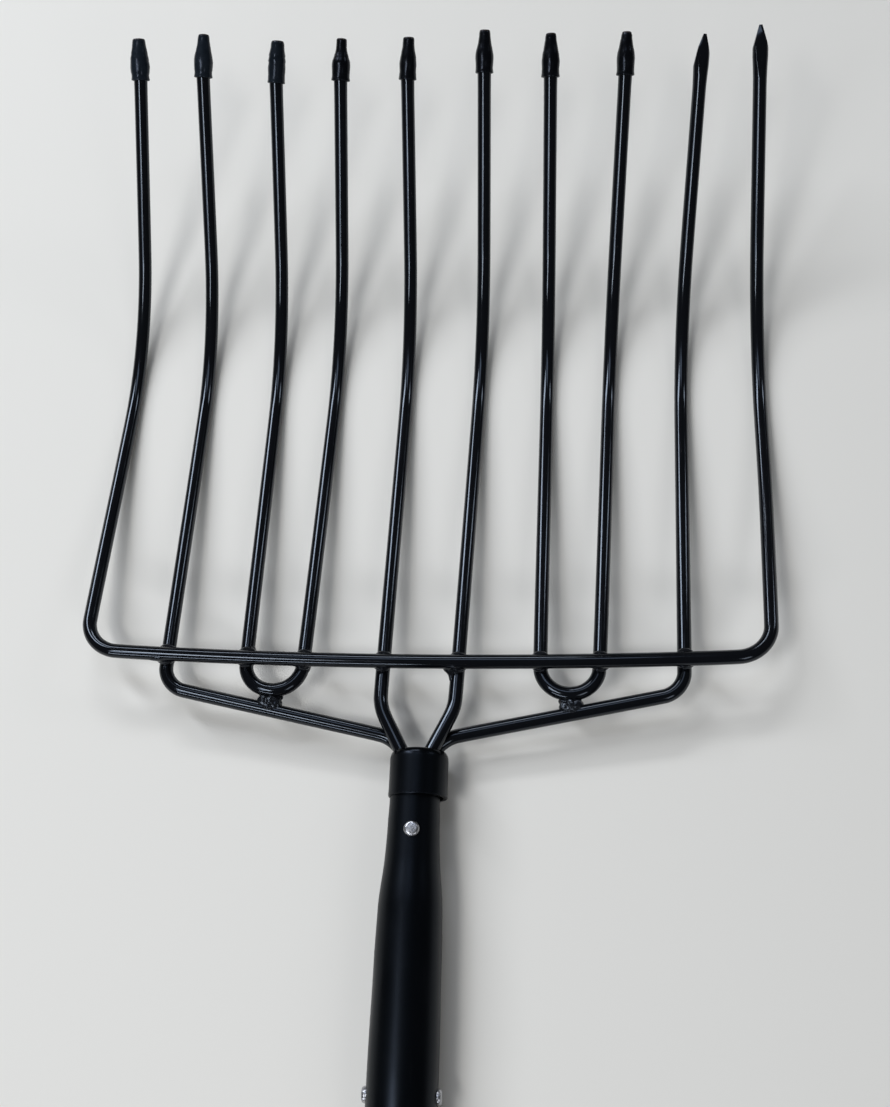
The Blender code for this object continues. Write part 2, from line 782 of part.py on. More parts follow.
UPRIGHT = Vector((0, 0, 1))
SIDEWAYS = Vector((1, 0, 0))
front_hole = add_rivet(
    "guide_front_rivet", FRONT_RIVET_SETBACK, NECK_RADIUS, UPRIGHT, GUIDE_MATERIAL, GAP
)
cross_hole = add_rivet(
    "guide_cross_rivet", CROSS_RIVET_SETBACK, FERRULE_END_RADIUS, SIDEWAYS, GUIDE_MATERIAL, GAP
)
add_ferrule(tube_paint, [front_hole, cross_hole])
add_handle(ash, [front_hole, cross_hole])
add_rivet("front_rivet", FRONT_RIVET_SETBACK, NECK_RADIUS, UPRIGHT, aluminium)
add_rivet("cross_rivet", CROSS_RIVET_SETBACK, FERRULE_END_RADIUS, SIDEWAYS, aluminium)

for number in GUARDED_TINES:
    add_guard(number, rubber)
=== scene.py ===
# %% [markdown]
# # A ten-tine bedding fork
#
# The fork is a head of bent and welded steel rods on a wooden handle, with rubber guards
# pushed over its points. The rigid model of it is already made and is loaded here as a
# frame: it says where every piece is. This lesson dresses that frame. Each piece gets the
# form that a hand or a machine gave it, and a finish built from nodes.
#
# One unit is one metre and +Z is up. The handle lies along Y, and the points of the tines
# look towards +Y.

# %% Load the frame
import json
import math

import bmesh
import bpy
from mathutils import Matrix, Vector

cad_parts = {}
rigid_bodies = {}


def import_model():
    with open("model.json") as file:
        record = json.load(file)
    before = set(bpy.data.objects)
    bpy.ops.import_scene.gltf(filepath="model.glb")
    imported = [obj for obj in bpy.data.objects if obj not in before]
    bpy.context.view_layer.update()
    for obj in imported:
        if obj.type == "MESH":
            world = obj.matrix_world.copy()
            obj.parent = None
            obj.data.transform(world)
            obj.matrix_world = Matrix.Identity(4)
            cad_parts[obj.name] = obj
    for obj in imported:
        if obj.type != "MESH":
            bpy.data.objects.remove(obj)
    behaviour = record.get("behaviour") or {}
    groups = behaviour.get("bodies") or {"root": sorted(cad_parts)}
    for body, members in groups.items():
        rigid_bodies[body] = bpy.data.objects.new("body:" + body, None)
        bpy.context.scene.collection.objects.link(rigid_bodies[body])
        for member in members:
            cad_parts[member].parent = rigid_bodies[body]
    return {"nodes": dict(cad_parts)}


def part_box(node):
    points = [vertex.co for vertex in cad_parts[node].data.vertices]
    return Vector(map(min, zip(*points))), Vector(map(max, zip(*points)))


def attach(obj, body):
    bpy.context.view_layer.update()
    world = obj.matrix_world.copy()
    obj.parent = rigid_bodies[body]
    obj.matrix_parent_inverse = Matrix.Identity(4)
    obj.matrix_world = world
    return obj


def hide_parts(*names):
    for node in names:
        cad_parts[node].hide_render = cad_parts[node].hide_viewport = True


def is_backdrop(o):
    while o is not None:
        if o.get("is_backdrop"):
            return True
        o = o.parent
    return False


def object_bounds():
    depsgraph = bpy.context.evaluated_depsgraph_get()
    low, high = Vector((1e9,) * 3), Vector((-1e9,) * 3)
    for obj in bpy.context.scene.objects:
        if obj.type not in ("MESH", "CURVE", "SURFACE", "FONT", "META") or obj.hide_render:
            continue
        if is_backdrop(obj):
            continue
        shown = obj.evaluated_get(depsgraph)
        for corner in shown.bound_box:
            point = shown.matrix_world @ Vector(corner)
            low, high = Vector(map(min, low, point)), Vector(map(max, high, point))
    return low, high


for item in list(bpy.data.objects):
    bpy.data.objects.remove(item)
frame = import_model()
frame_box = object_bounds()
MM = 0.001
# Corners nearer to each other than this are one corner, and so are those of a cut
MERGE = 0.01 * MM
CUT_MERGE = 0.001 * MM
print("frame nodes:", len(frame["nodes"]))

# %% [markdown]
# ## Working by hand, in code
#
# An operator works on whatever is selected, so each piece starts with nothing selected.
# In edit mode a few helpers pick corners or faces by their place, as a click would, and
# push out a ring of edges as the Extrude and Scale keys would. A finished piece keeps its
# place in its mesh, with its object at the origin, so that patterns laid on object
# coordinates are in real metres.

# %% Helpers for the bench
def clear_bench():
    """Leave nothing selected and no piece active."""
    if bpy.context.object and bpy.context.object.mode == "EDIT":
        bpy.ops.object.mode_set(mode="OBJECT")
    bpy.ops.object.select_all(action="DESELECT")
    bpy.context.view_layer.objects.active = None


def take(*pieces):
    """Select these pieces, the last of them active."""
    clear_bench()
    for piece in pieces:
        piece.select_set(True)
        bpy.context.view_layer.objects.active = piece


def edit(piece):
    """Open a piece for editing, with all of it selected."""
    take(piece)
    bpy.ops.object.mode_set(mode="EDIT")
    bpy.ops.mesh.select_mode(type="VERT")
    bpy.ops.mesh.select_all(action="SELECT")


def pick(piece, test):
    """In edit mode, select the faces whose middle passes a test, and nothing else."""
    bpy.ops.mesh.select_mode(type="FACE")
    bpy.ops.mesh.select_all(action="DESELECT")
    mesh = bmesh.from_edit_mesh(piece.data)
    for face in mesh.faces:
        if test(face.calc_center_median()):
            face.select_set(True)
    bmesh.update_edit_mesh(piece.data)


def apply_modifier(piece, kind, **settings):
    """Give a piece one modifier and apply it at once."""
    take(piece)
    modifier = piece.modifiers.new(kind.title(), kind)
    for name, value in settings.items():
        setattr(modifier, name, value)
    bpy.ops.object.modifier_apply(modifier=modifier.name)


def drive_ring(sections):
    """In edit mode, draw the selected ring along +Z through (height, width, depth) sections."""
    for before, after in zip(sections, sections[1:]):
        bpy.ops.mesh.extrude_region_move(
            TRANSFORM_OT_translate={"value": (0, 0, after[0] - before[0])}
        )
        bpy.ops.transform.resize(
            value=(after[1] / before[1], after[2] / before[2], 1), center_override=(0, 0, after[0])
        )


def turned(name, sections, sides, close_start=True, close_end=True):
    """A piece drawn from one ring, standing on the origin. Sections are in millimetres."""
    sections = [tuple(value * MM for value in section) for section in sections]
    start = sections[0]
    clear_bench()
    bpy.ops.mesh.primitive_circle_add(vertices=sides, radius=1, location=(0, 0, start[0]))
    piece = bpy.context.object
    piece.name = name
    bpy.ops.object.transform_apply(location=True, rotation=True, scale=True)
    edit(piece)
    bpy.ops.transform.resize(value=(start[1], start[2], 1), center_override=(0, 0, start[0]))
    if close_start:
        bpy.ops.mesh.duplicate()
        bpy.ops.mesh.edge_face_add()
        bpy.ops.mesh.select_all(action="DESELECT")
        mesh = bmesh.from_edit_mesh(piece.data)
        for edge in mesh.edges:
            if edge.is_wire:
                edge.select_set(True)
        bmesh.update_edit_mesh(piece.data)
    drive_ring(sections)
    if close_end:
        bpy.ops.mesh.edge_face_add()
    bpy.ops.mesh.select_all(action="SELECT")
    bpy.ops.mesh.remove_doubles(threshold=MERGE)
    bpy.ops.mesh.normals_make_consistent(inside=False)
    bpy.ops.object.mode_set(mode="OBJECT")
    return piece


def settle(piece, place):
    """Move a piece to its place and keep that place in its mesh."""
    piece.matrix_world = place
    take(piece)
    bpy.ops.object.transform_apply(location=True, rotation=True, scale=True)
    return piece


def copy_of(piece, name):
    """A copy with a mesh of its own."""
    copy = piece.copy()
    copy.data = piece.data.copy()
    copy.name = name
    bpy.context.scene.collection.objects.link(copy)
    return copy


def join(name, *pieces):
    """Join pieces into the last of them, under a new name."""
    take(*pieces)
    bpy.ops.object.join()
    joined = bpy.context.object
    joined.name = name
    return joined


def hand_over(piece, body, nodes, material, sharp_angle=None):
    """Finish a piece: shading, material, the body it moves with and the nodes it stands for."""
    take(piece)
    if sharp_angle:
        bpy.ops.object.shade_smooth_by_angle(angle=math.radians(sharp_angle))
    else:
        bpy.ops.object.shade_smooth()
    piece.data.materials.clear()
    piece.data.materials.append(material)
    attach(piece, body)
    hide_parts(*nodes)
    print("%-18s %6d faces, in %s" % (piece.name, len(piece.data.polygons), material.name))


# %% [markdown]
# ## Working with finishes
#
# A finish is a tree of nodes around one Principled shader. One helper adds any node. The
# colours are written as the hex values that a paint chart would give and turned to linear
# light by one function. Patterns are sized in millimetres.

# %% Helpers for finishes
def linear(hex_colour):
    """Turn an sRGB hex value to the linear colour that a shader reads."""
    channels = []
    for start in (0, 2, 4):
        value = int(hex_colour[start:start + 2], 16) / 255
        channels.append(value / 12.92 if value <= 0.04045 else ((value + 0.055) / 1.055) ** 2.4)
    return (*channels, 1.0)


def per_mm(size):
    """Texture scale at which one cell of a pattern is `size` millimetres."""
    return 1000.0 / size


def add_node(tree, kind, sockets=None, links=None, **settings):
    """Add one node, with its settings, its socket values and the links that come into it."""
    node = tree.nodes.new(kind)
    for name, value in settings.items():
        setattr(node, name, value)
    for socket, value in (sockets or {}).items():
        node.inputs[socket].default_value = value
    for socket, source in (links or {}).items():
        tree.links.new(source, node.inputs[socket])
    return node


def new_finish(name, colour, roughness, metallic=0.0, ior=1.5, specular=0.5, tint="ffffff"):
    """A material with its Principled shader and object coordinates, ready for patterns."""
    material = bpy.data.materials.new(name)
    material.use_nodes = True
    tree = material.node_tree
    shader = tree.nodes["Principled BSDF"]
    plain = {
        "Base Color": linear(colour),
        "Roughness": roughness,
        "Metallic": metallic,
        "IOR": ior,
        "Specular IOR Level": specular,
        "Specular Tint": linear(tint),
    }
    for socket, value in plain.items():
        shader.inputs[socket].default_value = value
    place = add_node(tree, "ShaderNodeTexCoord").outputs["Object"]
    return material, tree, shader, place


def lay_on(tree, shader, colour, roughness, relief, depth, sunk=False):
    """Lead patterns of colour, roughness and relief, its depth in mm, into the shader."""
    bump = add_node(
        tree,
        "ShaderNodeBump",
        {"Strength": 1.0, "Distance": depth * MM},
        {"Height": relief},
        invert=sunk,
    )
    tree.links.new(colour, shader.inputs["Base Color"])
    tree.links.new(roughness, shader.inputs["Roughness"])
    tree.links.new(bump.outputs[0], shader.inputs["Normal"])


# Sockets of a Mix node that mixes colours
FACTOR, COLOUR_A, COLOUR_B, MIXED = 0, 6, 7, 2

# %% [markdown]
# ### Gloss enamel on steel rod
#
# The head is dipped in black enamel and stoved. The eye gets a nearly black surface with a
# sharp, slightly wavy line of light, because a thick wet coat dries with orange peel two
# or three millimetres across. Handling leaves duller smears and a few specks of dust.
# Where the bends lie on the ground the paint is rubbed.

# %% Finish for the rods
ENAMEL_BLACK = "08090c"
ENAMEL_SHINE = 0.38
# Reflections of the enamel and of the welds are tinted blue: painted cool light
PAINTED_COOL_LIGHT = "dce9f8"
# Heights above the ground at which the rubbing begins and at which it is complete
RUB_BEGINS = 1.2 * MM
RUB_COMPLETE = 0.2 * MM


def make_rod_enamel():
    """Gloss enamel with orange peel, smears, specks of dust and rubbed bends."""
    material, tree, shader, place = new_finish(
        "Stoved black gloss enamel", ENAMEL_BLACK, 0.16, specular=ENAMEL_SHINE, tint=PAINTED_COOL_LIGHT
    )
    smears = add_node(
        tree, "ShaderNodeTexNoise", {"Scale": per_mm(22), "Detail": 4.0}, {"Vector": place}
    )
    smear_share = add_node(
        tree,
        "ShaderNodeMapRange",
        {"From Min": 0.35, "From Max": 0.70, "To Min": 0.06, "To Max": 0.15},
        {"Value": smears.outputs[0]},
    )
    specks = add_node(
        tree, "ShaderNodeTexNoise", {"Scale": per_mm(1.1), "Detail": 2.0}, {"Vector": place}
    )
    speck_share = add_node(
        tree,
        "ShaderNodeMapRange",
        {"From Min": 0.73, "From Max": 0.79, "To Min": 0.0, "To Max": 0.3},
        {"Value": specks.outputs[0]},
    )
    height = add_node(tree, "ShaderNodeSeparateXYZ", links={"Vector": place})
    near_ground = add_node(
        tree,
        "ShaderNodeMapRange",
        {"From Min": RUB_BEGINS, "From Max": RUB_COMPLETE, "To Min": 0.0, "To Max": 1.0},
        {"Value": height.outputs["Z"]},
    )
    rub = add_node(
        tree,
        "ShaderNodeMath",
        links={0: near_ground.outputs[0], 1: smears.outputs[0]},
        operation="MULTIPLY",
    )
    dusty = add_node(
        tree,
        "ShaderNodeMix",
        {COLOUR_A: linear(ENAMEL_BLACK), COLOUR_B: linear("6f6a63")},
        {FACTOR: speck_share.outputs[0]},
        data_type="RGBA",
    )
    worn = add_node(
        tree,
        "ShaderNodeMix",
        {COLOUR_B: linear("4a4845")},
        {FACTOR: rub.outputs[0], COLOUR_A: dusty.outputs[MIXED]},
        data_type="RGBA",
    )
    rough = add_node(
        tree,
        "ShaderNodeMath",
        links={0: smear_share.outputs[0], 1: rub.outputs[0]},
        operation="ADD",
    )
    peel = add_node(
        tree, "ShaderNodeTexNoise", {"Scale": per_mm(3.0), "Detail": 1.0}, {"Vector": place}
    )
    lay_on(tree, shader, worn.outputs[MIXED], rough.outputs[0], peel.outputs[0], 0.007)
    return material


rod_enamel = make_rod_enamel()
print("made", rod_enamel.name)

# %% [markdown]
# ### Enamel over weld metal
#
# The same enamel, but a weld is rippled where each drop of metal froze, and the coat pools
# between the ripples. The neat welds under the bar hardly show it. Over the lumpy metal at
# the loops the ripples are finer and deeper, so the gloss breaks up into glints.

# %% Finish for the welds
def make_weld_enamel(name, ripple_size, ripple_depth, dullest):
    """Enamel over ripples of a size and depth in millimetres."""
    # Its reflections are tinted blue, painted cool light, as on the rods
    material, tree, shader, place = new_finish(
        name, "0d0e11", 0.22, specular=ENAMEL_SHINE, tint=PAINTED_COOL_LIGHT
    )
    ripples = add_node(
        tree, "ShaderNodeTexNoise", {"Scale": per_mm(ripple_size), "Detail": 3.0}, {"Vector": place}
    )
    gloss = add_node(
        tree,
        "ShaderNodeMapRange",
        {"From Min": 0.35, "From Max": 0.65, "To Min": 0.09, "To Max": dullest},
        {"Value": ripples.outputs[0]},
    )
    tone = add_node(
        tree,
        "ShaderNodeMix",
        {COLOUR_A: linear(ENAMEL_BLACK), COLOUR_B: linear("1a1b1e")},
        {FACTOR: ripples.outputs[0]},
        data_type="RGBA",
    )
    lay_on(tree, shader, tone.outputs[MIXED], gloss.outputs[0], ripples.outputs[0], ripple_depth)
    return material


neat_weld_enamel = make_weld_enamel("Black enamel over a neat weld", 3.0, 0.05, 0.20)
lumpy_weld_enamel = make_weld_enamel("Black enamel over lumpy weld beads", 1.8, 0.15, 0.26)
print("made", neat_weld_enamel.name, "and", lumpy_weld_enamel.name)

# %% [markdown]
# ### Satin paint on the tube
#
# The ferrule and its collar are drawn steel tube, sprayed with a satin black. The fine
# overspray swallows most of the light and spreads the rest into one soft band, so the
# specular level is low. Hands and stable walls leave faint scuffs that run along the tube,
# and dust gathers in them. The collar's front lip has been polished by the straw.

# %% Finish for the tube
# Places along the fork, along Y, at which the lip's polish begins and is complete
POLISH_BEGINS = 444.0 * MM
POLISH_COMPLETE = 446.5 * MM


def make_tube_satin():
    """Satin paint with scuffs along the tube and a polished front lip."""
    # The tube's reflections are tinted blue: painted cool light
    material, tree, shader, place = new_finish(
        "Sprayed satin black on drawn tube", "040608", 0.35, specular=0.16, tint="d2e4ff"
    )
    along = add_node(tree, "ShaderNodeMapping", {"Scale": (1.0, 0.12, 1.0)}, {"Vector": place})
    scuffs = add_node(
        tree,
        "ShaderNodeTexNoise",
        {"Scale": per_mm(2.6), "Detail": 5.0},
        {"Vector": along.outputs[0]},
    )
    patches = add_node(
        tree, "ShaderNodeTexNoise", {"Scale": per_mm(35), "Detail": 3.0}, {"Vector": place}
    )
    scuff_share = add_node(
        tree,
        "ShaderNodeMapRange",
        {"From Min": 0.60, "From Max": 0.80, "To Min": 0.0, "To Max": 0.35},
        {"Value": scuffs.outputs[0]},
    )
    rough = add_node(
        tree,
        "ShaderNodeMapRange",
        {"From Min": 0.30, "From Max": 0.70, "To Min": 0.29, "To Max": 0.38},
        {"Value": patches.outputs[0]},
    )
    spot = add_node(tree, "ShaderNodeSeparateXYZ", links={"Vector": place})
    polish = add_node(
        tree,
        "ShaderNodeMapRange",
        {"From Min": POLISH_BEGINS, "From Max": POLISH_COMPLETE, "To Min": 0.0, "To Max": -0.22},
        {"Value": spot.outputs["Y"]},
    )
    worn_gloss = add_node(
        tree, "ShaderNodeMath", links={0: rough.outputs[0], 1: polish.outputs[0]}, operation="ADD"
    )
    tone = add_node(
        tree,
        "ShaderNodeMix",
        {COLOUR_A: linear("020304"), COLOUR_B: linear("101112")},
        {FACTOR: scuff_share.outputs[0]},
        data_type="RGBA",
    )
    grain = add_node(
        tree, "ShaderNodeTexNoise", {"Scale": per_mm(0.7), "Detail": 2.0}, {"Vector": place}
    )
    lay_on(tree, shader, tone.outputs[MIXED], worn_gloss.outputs[0], grain.outputs[0], 0.02)
    return material


tube_satin = make_tube_satin()
print("made", tube_satin.name)

# %% [markdown]
# ### Set aluminium
#
# The rivets are soft aluminium, closed by a hammer with a cupped set. The head is bright,
# with small facets from the blows and a fine grey film.

# %% Finish for the rivets
def make_rivet_metal():
    """Bright soft metal with facets from the hammer and a grey film."""
    material, tree, shader, place = new_finish(
        "Hammer-set bright aluminium", "dcdddf", 0.3, metallic=1.0
    )
    blows = add_node(tree, "ShaderNodeTexVoronoi", {"Scale": per_mm(1.6)}, {"Vector": place})
    film = add_node(
        tree, "ShaderNodeTexNoise", {"Scale": per_mm(1.2), "Detail": 4.0}, {"Vector": place}
    )
    tone = add_node(
        tree,
        "ShaderNodeMix",
        {COLOUR_A: linear("c8c9cc"), COLOUR_B: linear("88898c")},
        {FACTOR: film.outputs[0]},
        data_type="RGBA",
    )
    rough = add_node(
        tree,
        "ShaderNodeMapRange",
        {"From Min": 0.35, "From Max": 0.65, "To Min": 0.24, "To Max": 0.40},
        {"Value": film.outputs[0]},
    )
    lay_on(tree, shader, tone.outputs[MIXED], rough.outputs[0], blows.outputs[0], 0.10)
    return material


rivet_metal = make_rivet_metal()
print("made", rivet_metal.name)

# %% [markdown]
# ### Moulded rubber
#
# The guards are soft black rubber from a dip or a small mould. Rubber is charcoal rather
# than black and hardly shines. Handling gives it a mottled bloom. The guards on the left
# are painted lighter and those to the right darker, as painted light from the left. The
# top of the crown is a patchy brown. The share of the way up from the mouth is stored on
# each guard as the attribute `from_mouth`, because the brown crown follows the guard.

# %% Finish for the guards
# Places across the fork, along X, where the painted light from the left begins to fade
# and where it has faded
PAINTED_LIGHT_FADES = -105 * MM
PAINTED_LIGHT_FADED = -65 * MM


def make_guard_rubber():
    """Dull rubber with a mottled bloom, a brown crown and painted light on the guards to the left.
    """
    # The rubber's reflections are tinted blue: painted cool light
    material, tree, shader, place = new_finish(
        "Moulded black rubber", "101215", 0.4, ior=1.52, specular=0.17, tint="dce8ff"
    )
    up = add_node(tree, "ShaderNodeAttribute", attribute_name="from_mouth")
    bloom = add_node(
        tree, "ShaderNodeTexNoise", {"Scale": per_mm(5), "Detail": 5.0}, {"Vector": place}
    )
    # The top of the crown is mixed towards a patchy brown
    crown = add_node(
        tree,
        "ShaderNodeMapRange",
        {"From Min": 0.95, "From Max": 1.0, "To Min": 0.0, "To Max": 1.0},
        {"Value": up.outputs["Fac"]},
    )
    brown_crown_share = add_node(
        tree,
        "ShaderNodeMath",
        links={0: crown.outputs[0], 1: bloom.outputs[0]},
        operation="MULTIPLY",
    )
    bloomed = add_node(
        tree,
        "ShaderNodeMix",
        {COLOUR_A: linear("0f141a"), COLOUR_B: linear("1c2228")},
        {FACTOR: bloom.outputs[0]},
        data_type="RGBA",
    )
    across = add_node(tree, "ShaderNodeSeparateXYZ", links={"Vector": place})
    # Painted light and shade: the guards on the left keep the lighter bloom, those to the right are
    # darkened
    painted_shade_share = add_node(
        tree,
        "ShaderNodeMapRange",
        {"From Min": PAINTED_LIGHT_FADES, "From Max": PAINTED_LIGHT_FADED, "To Min": 0.0, "To Max": 0.9},
        {"Value": across.outputs["X"]},
    )
    rubber = add_node(
        tree,
        "ShaderNodeMix",
        {COLOUR_B: linear("040405")},
        {FACTOR: painted_shade_share.outputs[0], COLOUR_A: bloomed.outputs[MIXED]},
        data_type="RGBA",
    )
    tone = add_node(
        tree,
        "ShaderNodeMix",
        {COLOUR_B: linear("54463b")},
        {FACTOR: brown_crown_share.outputs[0], COLOUR_A: rubber.outputs[MIXED]},
        data_type="RGBA",
    )
    rough = add_node(
        tree,
        "ShaderNodeMapRange",
        {"From Min": 0.3, "From Max": 0.7, "To Min": 0.14, "To Max": 0.30},
        {"Value": bloom.outputs[0]},
    )
    skin = add_node(
        tree, "ShaderNodeTexNoise", {"Scale": per_mm(0.9), "Detail": 3.0}, {"Vector": place}
    )
    lay_on(tree, shader, tone.outputs[MIXED], rough.outputs[0], skin.outputs[0], 0.03)
    return material


guard_rubber = make_guard_rubber()
print("made", guard_rubber.name)

# %% [markdown]
# ### Oiled ash
#
# Tool handles are turned from straight ash and oiled. Ash lays down a band of open pores
# each spring and dense wood after it. In quickly grown wood these rings are about five
# millimetres apart, and they run as streaks along the handle and as arcs across its butt.
# One solid pattern does both: rings about a line beside the handle, stretched along it.
# Fine dark pores lie in the streaks, and patches are darker where hands have been.

# %% Finish for the handle
RING_SPACING = 5.15
# Rings that a Wave node of scale 1 draws in one metre
RINGS_PER_METRE = 20 / (2 * math.pi)
# The line about which the rings lie, beside the handle and above it
RING_CENTRE = (-45 * MM, 0.0, 62 * MM)


def make_ash():
    """Oiled ash with its rings, pores and darker patches."""
    material, tree, shader, place = new_finish("Turned and oiled ash", "b98d5c", 0.5)
    beside = add_node(
        tree,
        "ShaderNodeMapping",
        {"Location": [-value for value in RING_CENTRE], "Scale": (1.0, 0.035, 1.0)},
        {"Vector": place},
    )
    rings = add_node(
        tree,
        "ShaderNodeTexWave",
        {
            "Scale": per_mm(RING_SPACING) / RINGS_PER_METRE,
            "Distortion": 2.2,
            "Detail": 3.0,
            "Detail Scale": 1.2,
        },
        {"Vector": beside.outputs[0]},
        wave_type="RINGS",
        rings_direction="Y",
        wave_profile="SAW",
    )
    fine = add_node(tree, "ShaderNodeMapping", {"Scale": (1.0, 0.03, 1.0)}, {"Vector": place})
    pores = add_node(
        tree,
        "ShaderNodeTexNoise",
        {"Scale": per_mm(0.55), "Detail": 3.0},
        {"Vector": fine.outputs[0]},
    )
    pore_share = add_node(
        tree,
        "ShaderNodeMapRange",
        {"From Min": 0.56, "From Max": 0.70, "To Min": 0.0, "To Max": 0.55},
        {"Value": pores.outputs[0]},
    )
    patches = add_node(
        tree, "ShaderNodeTexNoise", {"Scale": per_mm(90), "Detail": 3.0}, {"Vector": place}
    )
    wood = add_node(
        tree,
        "ShaderNodeMix",
        {COLOUR_A: linear("d0a774"), COLOUR_B: linear("a5774a")},
        {FACTOR: rings.outputs[0]},
        data_type="RGBA",
    )
    pored = add_node(
        tree,
        "ShaderNodeMix",
        {COLOUR_B: linear("6d4a2c")},
        {FACTOR: pore_share.outputs[0], COLOUR_A: wood.outputs[MIXED]},
        data_type="RGBA",
    )
    handled_share = add_node(
        tree,
        "ShaderNodeMapRange",
        {"From Min": 0.45, "From Max": 0.75, "To Min": 0.0, "To Max": 0.45},
        {"Value": patches.outputs[0]},
    )
    tone = add_node(
        tree,
        "ShaderNodeMix",
        {COLOUR_B: linear("7c5836")},
        {FACTOR: handled_share.outputs[0], COLOUR_A: pored.outputs[MIXED]},
        data_type="RGBA",
    )
    rough = add_node(
        tree,
        "ShaderNodeMapRange",
        {"From Min": 0.3, "From Max": 0.7, "To Min": 0.42, "To Max": 0.60},
        {"Value": pores.outputs[0]},
    )
    lay_on(tree, shader, tone.outputs[MIXED], rough.outputs[0], pores.outputs[0], 0.06, sunk=True)
    return material


oiled_ash = make_ash()
print("made", oiled_ash.name)

# %% [markdown]
# ## Where the points are
#
# The tines are not alike: a smith set each by hand. Each rod of the frame says where its
# points are and which way they look. The corners of a rod within 30 mm of its foremost
# corner belong to the forged point. Those at the very end make the tip, and those furthest
# back make the ring where the point meets the round rod.

# %% Read the ends of the tines
ROD_RADIUS = 3.97
POINT_RUN = 34.0
# Distances from the foremost corner. All of the point lies within the first, its very end
# within the second, and its back ring beyond the third
POINT_WITHIN = 30.0 * MM
TIP_WITHIN = 1.8 * MM
RING_BEYOND = 23.5 * MM

TINES_OF = {
    "outer_bow": (1, 10),
    "left_brace_tine": (2,),
    "left_loop_tines": (3, 4),
    "left_centre_tine": (5,),
    "right_centre_tine": (6,),
    "right_loop_tines": (7, 8),
    "right_brace_tine": (9,),
}


def mean(points):
    """The middle of some places."""
    return sum(points, Vector()) / len(points)


def read_end(corners):
    """(tip, outward direction) of the forged point among the corners of one tine."""
    foremost = max(corners, key=lambda corner: corner.y)
    near = [corner for corner in corners if (corner - foremost).length < POINT_WITHIN]
    tip = mean([corner for corner in near if (corner - foremost).length < TIP_WITHIN])
    ring = mean([corner for corner in near if (corner - foremost).length > RING_BEYOND])
    return tip, (tip - ring).normalized()


tine_ends = {}
for node, numbers in TINES_OF.items():
    corners = list({vertex.co.to_tuple(6) for vertex in frame["nodes"][node].data.vertices})
    corners = [Vector(corner) for corner in corners]
    low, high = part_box(node)
    middle = (low.x + high.x) / 2
    if len(numbers) == 2:
        halves = [
            [corner for corner in corners if corner.x < middle],
            [corner for corner in corners if corner.x >= middle],
        ]
    else:
        halves = [corners]
    for number, half in zip(numbers, halves):
        tine_ends[number] = read_end(half)
for number in sorted(tine_ends):
    tip, outward = tine_ends[number]
    print("tine %d: tip" % number, [round(value / MM, 1) for value in tip])


def on_tine(number):
    """The place of a piece drawn along +Z from the origin, with its origin on a tine's tip."""
    tip, outward = tine_ends[number]
    level = (Vector((1, 0, 0)) - outward * outward.x).normalized()
    turn = Matrix((level, outward.cross(level), outward)).transposed()
    return Matrix.Translation(tip) @ turn.to_4x4()


# %% [markdown]
# ## Forged points
#
# The end of each rod is heated, widened a little under the hammer, and ground to a point
# with a few flat strokes. So it is modelled the same way: a round bar end is drawn out and
# widened, and then planes cut it. Each cut leaves a flat face with crisp edges, and where a
# flat runs out into the round bar the edge makes the curved V that one sees on a real
# point. The point that stands on its edge was ground mostly from one side. Points that a
# guard covers are slimmer, with shorter flats.

# %% Grind the points
def grind(name, half_width, cuts):
    """A bar end from -POINT_RUN to 0 along Z, cut by planes through two (x, y, z) spots each."""
    widening = half_width - ROD_RADIUS
    sections = [
        (-POINT_RUN, ROD_RADIUS, ROD_RADIUS),
        (-29.0, ROD_RADIUS + 0.06 * widening, ROD_RADIUS),
        (-23.0, ROD_RADIUS + 0.45 * widening, ROD_RADIUS),
        (-17.5, half_width, ROD_RADIUS),
        (-13.0, half_width, ROD_RADIUS),
        (0.0, half_width, ROD_RADIUS),
    ]
    point = turned(name, sections, 48, close_start=False)
    edit(point)
    for low_spot, high_spot, across in cuts:
        run = Vector(high_spot) - Vector(low_spot)
        outward = Vector(across).cross(run).normalized()
        bpy.ops.mesh.select_all(action="SELECT")
        bpy.ops.mesh.bisect(
            plane_co=tuple(value * MM for value in low_spot),
            plane_no=tuple(outward),
            use_fill=True,
            clear_outer=True,
            threshold=CUT_MERGE,
        )
    bpy.ops.object.mode_set(mode="OBJECT")
    apply_modifier(
        point, "BEVEL", width=0.12 * MM, segments=2, limit_method="ANGLE", angle_limit=0.4
    )
    return point


# Each cut: a spot low on the flat, a spot at its top, and a direction that lies in the flat
# so that (direction x run) looks out of the metal
def both_sides(*cut):
    """One cut, and the same cut on the opposite side of the bar."""
    return [cut, tuple((-x, -y, z) for x, y, z in cut)]


def spear_cuts(flat_start):
    """Two long flats from flat_start, two short ones on top of them, and the two sides."""
    return [
        *both_sides((0, ROD_RADIUS, flat_start), (0, 2.95, -12.0), (-1, 0, 0)),
        *both_sides((0, 2.95, -12.0), (0, 0.60, 0.2), (-1, 0, 0)),
        *both_sides((4.30, 0, -12.3), (0.85, 0, 0.2), (0, 1, 0)),
    ]


BARE_HALF_WIDTH = 4.50
COVERED_HALF_WIDTH = 4.15
spear_point = grind("spear_point", BARE_HALF_WIDTH, spear_cuts(-30.0))
print("spear point:", len(spear_point.data.polygons), "faces")
covered_point = grind("covered_point", COVERED_HALF_WIDTH, spear_cuts(-21.0))
print("covered point:", len(covered_point.data.polygons), "faces")

